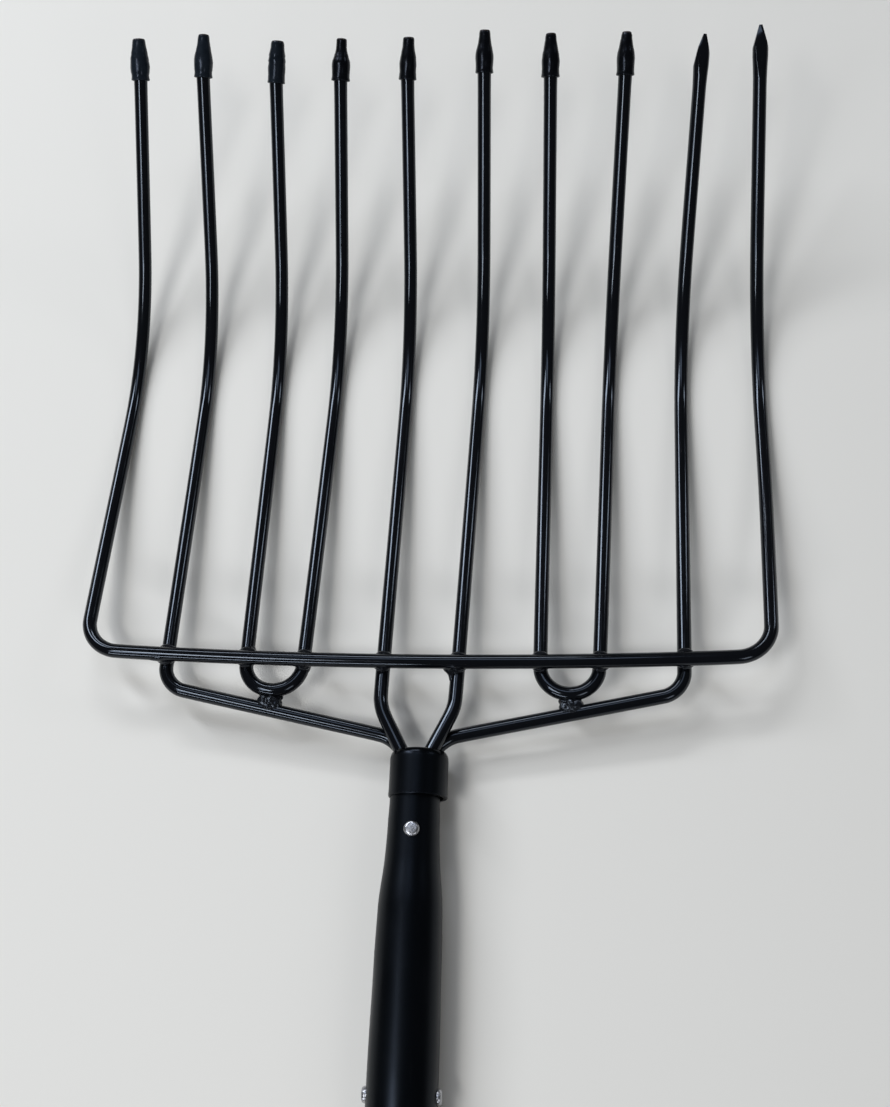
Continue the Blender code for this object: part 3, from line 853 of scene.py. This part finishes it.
EDGE_CUTS = [
    ((-3.95, 0, -15.5), (-2.45, 0, -7.4), (0, -1, 0)),
    ((-2.45, 0, -7.4), (0.20, 0, 0.1), (0, -1, 0)),
    ((4.10, 0, -9.5), (1.80, 0, 0.1), (0, 1, 0)),
    *both_sides((0, ROD_RADIUS, -22.0), (0, 3.20, -10.0), (-1, 0, 0)),
    *both_sides((0, 3.20, -10.0), (0, 0.60, 0.2), (-1, 0, 0)),
]
edge_point = grind("edge_point", BARE_HALF_WIDTH, EDGE_CUTS)
print("edge point:", len(edge_point.data.polygons), "faces")
BARE_POINTS = {9: edge_point, 10: spear_point}

# %% [markdown]
# ## Bent rods
#
# The seven rods are right in the frame, but drawn with twelve flat sides, and gloss paint
# shows every side as a stripe. A copy of each is merged back into one skin of four-sided
# faces, swelled by the little that subdivision takes away, and subdivided. The frame's own
# rough points are cut off first, and the ground points are set in their place.

# %% Round the rods
SIDES = 12
SWELL = ROD_RADIUS * (3 / (2 + math.cos(2 * math.pi / SIDES)) - 1)
# How far back from its tip, and how far aside, a face still belongs to a tine's end
END_REACH = 120 * MM
END_ASIDE = 12 * MM
# By how much a ground point reaches into its rod
POINT_OVERLAP = 0.2


def round_rod(node, numbers):
    """A smooth copy of one rod, with a ground point on each of its tines."""
    rod = bpy.data.objects.new("rod_" + node, frame["nodes"][node].data.copy())
    bpy.context.scene.collection.objects.link(rod)
    edit(rod)
    bpy.ops.mesh.remove_doubles(threshold=MERGE)
    bpy.ops.mesh.tris_convert_to_quads(face_threshold=1.2, shape_threshold=1.2)
    bpy.ops.transform.shrink_fatten(value=SWELL * MM)
    for number in numbers:
        tip, outward = tine_ends[number]

        def along_this_tine(spot):
            back = (tip - spot).dot(outward)
            aside = (spot - tip + outward * back).length
            return back < END_REACH and aside < END_ASIDE

        pick(rod, along_this_tine)
        bpy.ops.mesh.bisect(
            plane_co=tip - outward * (POINT_RUN - POINT_OVERLAP) * MM,
            plane_no=outward,
            clear_outer=True,
            threshold=CUT_MERGE,
        )
    bpy.ops.object.mode_set(mode="OBJECT")
    if rod.data.has_custom_normals:
        take(rod)
        bpy.ops.mesh.customdata_custom_splitnormals_clear()
    apply_modifier(rod, "SUBSURF", levels=2, render_levels=2)
    points = []
    for number in numbers:
        ground = BARE_POINTS.get(number, covered_point)
        points.append(settle(copy_of(ground, "point"), on_tine(number)))
    for piece in [rod] + points:
        piece.data.materials.clear()
    return join("rod_" + node, *points, rod)


for node, numbers in TINES_OF.items():
    rod = round_rod(node, numbers)
    hand_over(rod, "fork", [node], rod_enamel, sharp_angle=30)
for ground in (spear_point, covered_point, edge_point):
    bpy.data.objects.remove(ground)

# %% [markdown]
# ## Weld beads under the crossbar
#
# Where the bar crosses an inner tine, the welder ran metal into the four corners of the
# cross, and the thick enamel softened it. A flat ball of metal sits between the rods, with
# a sleeve along each of them. A voxel remesh runs them into one skin. A Smooth modifier
# then fills the hollows and sinks the sleeves just under the skin of the rods, so that only
# small soft corners are left. It is made once and copied, and each copy is pushed and
# turned a little, since no two welds are alike. One weld ran wide on its left.

# %% Weld the bar
# From the middle of a tine to the middle of the bar on it, and the dip of the head
ROD_STACK = 8.24
HEAD_DROP = math.radians(4.98)


def ball(name, centre, half_sizes):
    """A ball pressed to half sizes, in millimetres, as a start for weld metal."""
    clear_bench()
    bpy.ops.mesh.primitive_uv_sphere_add(segments=48, ring_count=24, radius=MM)
    piece = bpy.context.object
    piece.name = name
    piece.scale = half_sizes
    piece.location = [value * MM for value in centre]
    bpy.ops.object.transform_apply(location=True, rotation=True, scale=True)
    return piece


def melt(piece, voxel, passes):
    """Run overlapping bodies into one skin and soften it."""
    apply_modifier(piece, "REMESH", mode="VOXEL", voxel_size=voxel * MM)
    apply_modifier(piece, "SMOOTH", factor=0.5, iterations=passes)


def bar_weld(name, drops):
    """The metal at one crossing, around the spot where the rods touch."""
    bodies = [ball("drop", *drop) for drop in drops]
    bodies += [
        ball("along_tine", (0, 3.0, -0.1 - ROD_STACK / 2), (4.1, 9.0, 4.1)),
        ball("along_bar", (0, 0, ROD_STACK / 2 - 0.5), (12.0, 3.9, 3.6)),
    ]
    metal = join(name, *bodies)
    melt(metal, 0.50, 24)
    print(name, len(metal.data.polygons), "faces")
    return metal


EVEN = [((0, 1.4, 0.2), (6.4, 6.5, 2.7))]
RUN_OUT = [
    ((-4.6, -3.3, -0.6), (2.3, 2.5, 2.2)),
    ((-4.0, -5.2, -3.2), (1.9, 4.2, 2.4)),
    ((-5.4, -2.2, 0.9), (3.2, 2.4, 1.8)),
]
even_weld = bar_weld("even_weld", EVEN)
wide_weld = bar_weld("wide_weld", EVEN + RUN_OUT)

RAN_WIDE = 6
# (push to the right, push forward, in mm, turn in degrees, stretch across)
WELD_SETTINGS = {
    2: (0.7, -0.3, 4, 1.04),
    3: (1.1, 0.2, -3, 1.00),
    4: (0.9, -0.2, 3, 1.00),
    5: (0.3, -0.1, -4, 0.98),
    6: (0.2, -0.3, 5, 0.98),
    7: (0.3, 0.1, -2, 0.97),
    8: (0.1, -0.2, 3, 0.95),
    9: (0.1, 0.2, -3, 0.96),
}
for number, (right, forward, turn, stretch) in WELD_SETTINGS.items():
    node = "bar_weld_%d" % number
    low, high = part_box(node)
    place = (
        Matrix.Translation((low + high) / 2 + Vector((right, forward, 0)) * MM)
        @ Matrix.Rotation(-HEAD_DROP, 4, "X")
        @ Matrix.Rotation(math.radians(turn), 4, "Z")
        @ Matrix.Diagonal((stretch, 1, 1, 1))
    )
    metal = wide_weld if number == RAN_WIDE else even_weld
    weld = settle(copy_of(metal, "weld_at_bar_%d" % number), place)
    hand_over(weld, "fork", [node], neat_weld_enamel)
bpy.data.objects.remove(even_weld)
bpy.data.objects.remove(wide_weld)

# %% [markdown]
# ## Weld blobs under the loops
#
# The bottom of each U lies three millimetres in front of the brace and is tied to it by a
# bridge of weld metal. It was built up drop by drop, so it is lumpy and pitted. A voxel
# remesh runs the drops together, and a Displace modifier with a cloud pattern then gives
# the lumps. The last smoothing takes off their sharpest edges.

# %% Weld the loops
lumps = bpy.data.textures.new("weld lumps", "CLOUDS")
lumps.noise_scale = 1.8 * MM
lumps.noise_depth = 2
# By how much the metal ran back from the middle of the frame's blob
SAG = 1.7


def loop_bridge(node, turn, drops):
    """Weld metal between a loop and its brace, from overlapping drops, as one blob."""
    low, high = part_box(node)
    centre = (low + high) / 2 + Vector((0, -SAG * MM, 0))
    parts = [ball("drop", spot, sizes) for spot, sizes in drops]
    blob = join("weld_" + node, *parts)
    melt(blob, 0.45, 2)
    settle(blob, Matrix.Translation(centre) @ Matrix.Rotation(math.radians(turn), 4, "Z"))
    apply_modifier(
        blob,
        "DISPLACE",
        texture=lumps,
        texture_coords="GLOBAL",
        strength=1.3 * MM,
        mid_level=0.5,
    )
    apply_modifier(blob, "SMOOTH", factor=0.5, iterations=1)
    hand_over(blob, "fork", [node], lumpy_weld_enamel)


DROPS_LEFT = [
    ((-3.2, 0.4, 0.2), (3.7, 4.2, 3.9)),
    ((0.6, 0.8, 0.4), (4.0, 4.2, 4.0)),
    ((3.7, 0.2, -0.2), (3.4, 4.2, 3.6)),
    ((0.2, -2.3, 0.4), (5.0, 2.6, 3.4)),
    ((0.2, 4.6, -0.9), (6.4, 2.6, 3.4)),
]
DROPS_RIGHT = [
    ((-3.3, 0.2, -0.2), (3.4, 4.0, 3.4)),
    ((0.2, 0.6, 0.3), (4.0, 4.2, 3.9)),
    ((3.4, 0.4, 0.3), (3.6, 4.0, 3.7)),
    ((0.4, -2.2, 0.2), (4.6, 2.5, 3.2)),
    ((-0.2, 4.4, -0.9), (6.0, 2.6, 3.4)),
]
loop_bridge("left_loop_weld", -12, DROPS_LEFT)
loop_bridge("right_loop_weld", 12, DROPS_RIGHT)

# %% [markdown]
# ## Collar
#
# A short cup is pressed over the mouth of the ferrule, and the four rods go in through its
# face. Pressing rounds the front shoulder, and the rim is left square. It is turned here
# as on a lathe: one ring of edges is drawn out and scaled from section to section, from
# the middle of the face, round the shoulder, down the wall and back up inside. It sits a
# little to the right on the neck, so its step is small on one side and wide on the other.

# %% Turn the collar
# The handle's axis above the ground, the collar's shift to the right, and how far behind
# the frame's front it starts
AXIS_HEIGHT = 18.2
COLLAR_SHIFT = 1.5
COLLAR_SETBACK = 1.0
collar_low, collar_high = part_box("collar")
ON_AXIS = Matrix.Translation((0, collar_high.y, AXIS_HEIGHT * MM)) @ Matrix.Rotation(
    math.pi / 2, 4, "X"
)
COLLAR_RADIUS = (collar_high.x - collar_low.x) / 2 / MM
COLLAR_RIM = (collar_high.y - collar_low.y) / MM - COLLAR_SETBACK
NECK_RADIUS = COLLAR_RADIUS - 1.5
NECK_AT_COLLAR = NECK_RADIUS - 0.9


def quarter_round(back, inside, depth, length, steps):
    """Sections round a shoulder, from a face at `back` to the side wall."""
    sections = []
    for step in range(steps + 1):
        angle = math.pi / 2 * step / steps
        radius = inside + depth * math.sin(angle)
        sections.append((back + length * (1 - math.cos(angle)), radius, radius))
    return sections


def ring_sections(pairs):
    """Round sections from (back, radius) pairs."""
    return [(back, radius, radius) for back, radius in pairs]


collar_sections = ring_sections([(1.4, 0.8), (1.4, 4.0), (1.1, 8.0)])
collar_sections += quarter_round(COLLAR_SETBACK, COLLAR_RADIUS - 2.9, 2.8, 4.6, 12)
collar_sections += ring_sections(
    [
        (8.0, COLLAR_RADIUS - 0.10),
        (COLLAR_RIM - 5.0, COLLAR_RADIUS - 0.06),
        (COLLAR_RIM - 1.5, COLLAR_RADIUS + 0.05),
        (COLLAR_RIM - 0.4, COLLAR_RADIUS + 0.05),
        (COLLAR_RIM, COLLAR_RADIUS - 0.25),
        (COLLAR_RIM, NECK_AT_COLLAR + 0.35),
        (COLLAR_RIM - 4.0, NECK_AT_COLLAR + 0.20),
    ]
)
collar = turned("collar_cup", collar_sections, 96, close_end=False)
settle(collar, Matrix.Translation((COLLAR_SHIFT * MM, 0, 0)) @ ON_AXIS)
hand_over(collar, "fork", ["collar"], tube_satin, sharp_angle=32)

# %% [markdown]
# ## Ferrule
#
# The ferrule is a tube drawn down at the front to a narrow neck and opened behind it into
# a wide skirt for the handle. The neck itself was squeezed a little more at the collar,
# and the flare is an S: a smooth step from one radius to the other. The rear rim is
# trimmed and rounded off so that it doesn't cut the hand.

# %% Turn the ferrule
ferrule_low, ferrule_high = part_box("ferrule")
FERRULE_FRONT = (collar_high.y - ferrule_high.y) / MM
FERRULE_END = (collar_high.y - ferrule_low.y) / MM
SKIRT_RADIUS = (ferrule_high.x - ferrule_low.x) / 2 / MM
SHOULDER_RADIUS = 17.0
SKIRT_START_RADIUS = SHOULDER_RADIUS + 0.54
NECK_END = FERRULE_FRONT + 41
SHOULDER = NECK_END + 34
SKIRT_START = SHOULDER + 20
SKIRT_FULL = SHOULDER + 75
WALL = 1.5


def eased(start, end, radius_start, radius_end, steps):
    """(back, radius) pairs along a smooth step, without its first pair."""
    pairs = []
    for step in range(1, steps + 1):
        share = step / steps
        ease = share * share * (3 - 2 * share)
        pairs.append(
            (start + (end - start) * share, radius_start + (radius_end - radius_start) * ease)
        )
    return pairs


RIVET_BACK = 44.5
NECK_AT_RIVET = NECK_RADIUS - 0.45
outside = [(FERRULE_FRONT, NECK_AT_COLLAR), (30.0, NECK_AT_COLLAR), (38.0, NECK_AT_COLLAR + 0.35)]
outside += [(RIVET_BACK, NECK_AT_RIVET), (NECK_END, NECK_RADIUS - 0.1)]
outside += eased(NECK_END, SHOULDER, NECK_RADIUS, SHOULDER_RADIUS, 10)
outside += [(SKIRT_START, SKIRT_START_RADIUS)]
outside += eased(SKIRT_START, SKIRT_FULL, SKIRT_START_RADIUS, SKIRT_RADIUS, 5)
outside += [(FERRULE_END - 0.9, SKIRT_RADIUS), (FERRULE_END - 0.3, SKIRT_RADIUS - 0.2)]
rim = [(FERRULE_END, SKIRT_RADIUS - 0.7), (FERRULE_END - 0.3, SKIRT_RADIUS - WALL + 0.1)]
inside = [(FERRULE_END - 2, SKIRT_RADIUS - WALL), (FERRULE_END - 30, SKIRT_RADIUS - WALL)]
ferrule = turned(
    "ferrule_tube", ring_sections(outside + rim + inside), 96, close_start=False, close_end=False
)
settle(ferrule, ON_AXIS)
hand_over(ferrule, "fork", ["ferrule"], tube_satin, sharp_angle=40)

# %% [markdown]
# ## Handle
#
# The handle is turned ash, a little over a metre beyond the ferrule. It swells behind the
# ferrule, thins gently towards the hands and swells again at the butt, which is rounded
# over. The part inside the ferrule isn't seen, so the drawing starts just inside its rim.

# %% Turn the handle
BUTT = (collar_high.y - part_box("handle")[0].y) / MM
BUTT_ROUND = 5.0
INSIDE_RADIUS = SKIRT_RADIUS - WALL - 0.3
GRIP_RADIUS = 17.0
WAIST_RADIUS = 15.8
SWELL_END = FERRULE_END + 45
WAIST = FERRULE_END + 700
BUTT_SWELL = BUTT - 45

handle_pairs = [(FERRULE_END - 28, INSIDE_RADIUS), (FERRULE_END, INSIDE_RADIUS)]
handle_pairs += eased(FERRULE_END, SWELL_END, INSIDE_RADIUS, GRIP_RADIUS, 5)
handle_pairs += eased(SWELL_END, WAIST, GRIP_RADIUS, WAIST_RADIUS, 24)
handle_pairs += eased(WAIST, BUTT_SWELL, WAIST_RADIUS, GRIP_RADIUS, 14)
handle_pairs += [(BUTT - 30, GRIP_RADIUS), (BUTT - 15, GRIP_RADIUS)]
butt = quarter_round(0, GRIP_RADIUS - BUTT_ROUND, BUTT_ROUND, BUTT_ROUND, 8)
handle_sections = ring_sections(handle_pairs)
handle_sections += [(BUTT - back, width, depth) for back, width, depth in reversed(butt)]
handle_sections += ring_sections([(BUTT, 6.0), (BUTT, 0.6)])
handle = turned("handle_ash", handle_sections, 64)
settle(handle, ON_AXIS)
hand_over(handle, "fork", ["handle"], oiled_ash, sharp_angle=40)

# %% [markdown]
# ## Rivets
#
# One rivet goes through the neck from front to back, and one through the skirt from side
# to side. Each has the same domed head at both ends, and the hammer has flattened the top
# of the dome. The dome stands a little off the wall at its highest, and its edge is drawn
# down below it, because the wall curves away from under the head.

# %% Turn and set the rivets
DOME_RADIUS = 4.2
DOME_HEIGHT = 1.8
DOME_GAP = 0.3
CROWN_RADIUS = 2.4
SHANK_RADIUS = 2.5
DOME_STEPS = 8


def dome(half_length):
    """(along, radius) pairs over one head, from its flattened top down to its edge."""
    pairs = []
    for step in range(DOME_STEPS + 1):
        angle = math.pi / 2 * (1 - step / DOME_STEPS)
        radius = CROWN_RADIUS + (DOME_RADIUS - CROWN_RADIUS) * math.cos(angle)
        pairs.append((half_length + DOME_GAP + DOME_HEIGHT * math.sin(angle), radius))
    return pairs


def rivet(name, node, half_length, back, aside, turn):
    """A rivet with two heads, at a distance back from the collar's front."""
    top = dome(half_length)
    edge = half_length - 0.5
    top += [(edge, DOME_RADIUS - 0.05), (edge, SHANK_RADIUS)]
    bottom = [(-along, radius) for along, radius in reversed(top)]
    shank = turned(name, ring_sections(top + bottom), 48)
    place = Matrix.Translation((aside * MM, collar_high.y - back * MM, AXIS_HEIGHT * MM)) @ turn
    settle(shank, place)
    hand_over(shank, "fork", [node], rivet_metal, sharp_angle=50)


UPRIGHT = Matrix.Identity(4)
SIDEWAYS = Matrix.Rotation(math.pi / 2, 4, "Y")
SKIRT_RIVET_BACK = 175.0
rivet("rivet_in_neck", "front_rivet", NECK_AT_RIVET, RIVET_BACK, 0.6, UPRIGHT)
rivet("rivet_in_skirt", "cross_rivet", SKIRT_RADIUS, SKIRT_RIVET_BACK, 0, SIDEWAYS)

# %% [markdown]
# ## Tip guards
#
# Each guard is a small bottle of rubber. From its mouth a short skirt goes up to a bulge
# over the widest part of the point, then the wall draws in to a blunt crown with a flat
# top. Its mouth has a thin turned lip. It is drawn from one ring, the inside first and then
# the outside, so that it is a real hollow cap. It is drawn once and copied.

# %% Draw one guard
GUARD_HEIGHT = 24.2


def guard_blank(name):
    """A hollow guard standing on the origin, mouth down."""
    sections = [
        (20.4, 0.93, 0.93),
        (17.0, 2.47, 2.37),
        (10.4, 4.48, 4.22),
        (0.9, 4.33, 4.22),
        (0.0, 4.58, 4.43),
        (0.0, 5.42, 5.18),
        (0.35, 5.64, 5.36),
        (1.0, 5.56, 5.30),
        (1.8, 5.32, 5.08),
        (3.2, 5.26, 5.03),
        (5.6, 5.40, 5.18),
        (8.2, 5.61, 5.36),
        (10.4, 5.50, 5.29),
        (12.6, 5.04, 4.85),
        (14.8, 4.41, 4.31),
        (17.0, 3.87, 3.79),
        (19.2, 3.54, 3.49),
        (21.4, 3.36, 3.32),
        (23.0, 3.27, 3.23),
        (23.8, 3.05, 3.03),
        (24.15, 2.51, 2.51),
        (GUARD_HEIGHT, 1.31, 1.31),
        (GUARD_HEIGHT, 0.33, 0.33),
    ]
    blank = turned(name, sections, 40)
    apply_modifier(blank, "SUBSURF", levels=1, render_levels=1)
    return blank


blank = guard_blank("guard_blank")
print("guard blank:", len(blank.data.polygons), "faces")

# %% [markdown]
# ## Guards on the tines
#
# The copies differ as the real guards do: the crowns of the first and third are wide,
# others are pinched, and most sit a little askew. So bands of each copy are scaled about
# its own axis and smoothed, as fingers would stretch them. It is then set on its tine, and
# a Displace modifier with a cloud pattern gives it a slightly uneven skin.

# %% Push a guard onto each covered tine
wrinkles = bpy.data.textures.new("rubber unevenness", "CLOUDS")
wrinkles.noise_scale = 6 * MM
wrinkles.noise_depth = 1

# (crown, neck and bulge width and length as shares of the blank, turn and lean in degrees)
GUARD_SETTINGS = {
    1: (1.17, 1.20, 1.05, 1.00, 10, -1.5),
    2: (1.03, 1.08, 1.04, 1.03, 40, 3.5),
    3: (1.18, 1.24, 0.97, 1.01, 75, 4.0),
    4: (0.95, 0.90, 1.01, 1.00, 20, 2.4),
    5: (1.02, 1.00, 0.95, 1.00, 110, 2.6),
    6: (0.96, 1.02, 1.01, 1.01, 60, 0.5),
    7: (0.93, 1.04, 0.97, 1.02, 150, 0.0),
    8: (0.90, 1.05, 1.00, 1.01, 95, -1.0),
}


def swell_band(piece, low, high, factor):
    """Scale the corners between two heights, in millimetres, about the guard's axis."""
    edit(piece)
    bpy.ops.mesh.select_all(action="DESELECT")
    mesh = bmesh.from_edit_mesh(piece.data)
    for vertex in mesh.verts:
        vertex.select_set(low * MM < vertex.co.z < high * MM)
    bmesh.update_edit_mesh(piece.data)
    bpy.ops.transform.resize(value=(factor, factor, 1), center_override=(0, 0, 0))
    bpy.ops.object.mode_set(mode="OBJECT")


def push_on(number, crown, neck, bulge, length, turn, lean):
    """Shape one copy of the guard, store the wear's attribute and set it on its tine."""
    node = "tip_guard_%d" % number
    guard = copy_of(blank, "guard_on_tine_%d" % number)
    for low, high, factor in (
        (22.2, 30.0, crown),
        (20.0, 22.2, (neck + crown) / 2),
        (15.5, 20.0, neck),
        (12.0, 15.5, (bulge + neck) / 2),
        (4.4, 12.0, bulge),
    ):
        swell_band(guard, low, high, factor)
    apply_modifier(guard, "SMOOTH", factor=0.5, iterations=2)
    heights = [max(0.0, vertex.co.z / (GUARD_HEIGHT * MM)) for vertex in guard.data.vertices]
    share = guard.data.attributes.new("from_mouth", "FLOAT", "POINT")
    share.data.foreach_set("value", heights)
    tip, outward = tine_ends[number]
    along = [(vertex.co - tip).dot(outward) for vertex in frame["nodes"][node].data.vertices]
    mouth = Matrix.Translation((0, 0, max(along) - GUARD_HEIGHT * length * MM))
    leaning = Matrix.Rotation(math.radians(lean), 4, "Y")
    askew = leaning @ Matrix.Rotation(math.radians(turn), 4, "Z")
    place = on_tine(number) @ mouth @ askew @ Matrix.Diagonal((1, 1, length, 1))
    settle(guard, place)
    apply_modifier(
        guard,
        "DISPLACE",
        texture=wrinkles,
        texture_coords="GLOBAL",
        strength=0.4 * MM,
        mid_level=0.5,
    )
    hand_over(guard, "guard_%d" % number, [node], guard_rubber, sharp_angle=45)


for number, settings in GUARD_SETTINGS.items():
    push_on(number, *settings)
bpy.data.objects.remove(blank)

# %% [markdown]
# ## Floor
#
# The fork lies on a plain pale floor. Its paint is matt, so that it takes a soft shadow
# and mirrors no lamp.

# %% Floor
clear_bench()
bpy.ops.mesh.primitive_plane_add(size=12, location=(0, 0, 0))
floor = bpy.context.object
floor.name = "floor"
floor_paint = new_finish("Matt floor paint", "e6e3da", 0.9, specular=0.2)[0]
floor.data.materials.append(floor_paint)
floor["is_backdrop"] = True
print("floor at 0")

# %% [markdown]
# ## Lamps
#
# Black gloss shows little but the lamps, so the lamps draw the fork: a rod mirrors a lamp
# as a thin line along its length. One lamp stands where the level part of the tines mirrors
# it and a second where the rising part does, with nothing between them, so the bend stays
# black. Two long ones, beyond the points and beyond the handle, draw the crossbar and the
# braces, and a dim wide one gives the crossbar its sheen. A narrow one on the right draws a
# second, dimmer line. A soft key on the left draws the tube and lights the floor. A wide
# lamp beyond the butt keeps the handle readable from its other side. The world is a dim
# neutral grey.

# %% Lamps
world = bpy.data.worlds.new("studio")
bpy.context.scene.world = world
world.use_nodes = True
background = world.node_tree.nodes["Background"]
background.inputs["Color"].default_value = linear("e8eaee")
background.inputs["Strength"].default_value = 0.10


def softbox(name, place, target, size, radiance, colour):
    """A one-sided lamp of a size in metres that looks at a target, given by its brightness."""
    lamp = bpy.data.lights.new(name, "AREA")
    lamp.shape = "RECTANGLE"
    lamp.size, lamp.size_y = size
    lamp.energy = radiance * math.pi * size[0] * size[1]
    lamp.color = linear(colour)[:3]
    stand = bpy.data.objects.new(name, lamp)
    bpy.context.scene.collection.objects.link(stand)
    stand.location = place
    aim = Vector(target) - Vector(place)
    stand.rotation_euler = aim.to_track_quat("-Z", "Y").to_euler()
    stand.visible_camera = False


softbox("key", (-0.72, -0.08, 1.90), (0.0, 0.35, 0.0), (0.80, 0.24), 19.0, "f8faff")
softbox("level_line", (-1.34, 1.70, 1.50), (0.0, 0.60, 0.0), (0.34, 1.16), 17.0, "eef4ff")
softbox("rising_line", (-0.88, -0.17, 1.50), (0.0, 0.78, 0.06), (0.34, 0.40), 7.0, "eaf1ff")
softbox("brace_line", (-0.50, 2.30, 1.50), (-0.1, 0.50, 0.0), (1.15, 0.22), 15.0, "f2f6ff")
softbox("low_line", (-1.05, -1.80, 1.20), (-0.1, 0.50, 0.0), (1.50, 0.18), 21.0, "f2f6ff")
softbox("right_line", (1.60, 1.55, 1.10), (-0.1, 0.80, 0.05), (0.16, 0.50), 9.0, "eef4ff")
softbox("bar_sheen", (-0.14, 1.20, 1.90), (0.0, 0.50, 0.0), (0.78, 0.36), 3.0, "dde9ff")
softbox("handle_fill", (1.30, -1.50, 1.70), (0.0, -0.30, 0.0), (0.90, 0.80), 4.0, "f6f8ff")

# %% [markdown]
# ## Camera
#
# The camera looks down on the head from three quarters of a metre and tilts towards the
# points. Its place, its angles and its focal length come from the photo: they are those at
# which the rods of the frame have the same widths and run along the same lines as there.

# %% Camera
CAMERA_PLACE = (0.0903, 0.2916, 0.7532)
CAMERA_ANGLES = (20.366, 5.3795, 2.1205)
FOCAL_LENGTH = 44.855
SENSOR_WIDTH = 36

lens = bpy.data.cameras.new("camera")
camera = bpy.data.objects.new("camera", lens)
bpy.context.scene.collection.objects.link(camera)
camera.location = CAMERA_PLACE
camera.rotation_euler = [math.radians(angle) for angle in CAMERA_ANGLES]
lens.lens = FOCAL_LENGTH
lens.sensor_width = SENSOR_WIDTH
lens.clip_start = 0.01
bpy.context.scene.camera = camera
bpy.context.scene.view_settings.view_transform = "Standard"
print("camera lens", lens.lens)

# %% [markdown]
# ## Measure and finish
#
# The boxes of the frame and of the dressed fork are printed in millimetres. The dressed
# fork has to fit the box of the frame.

# %% Measure and finish
dressed_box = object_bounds()
for label, (low, high) in (("frame", frame_box), ("dressed", dressed_box)):
    print(label, [round(value * 1000, 1) for value in high - low])
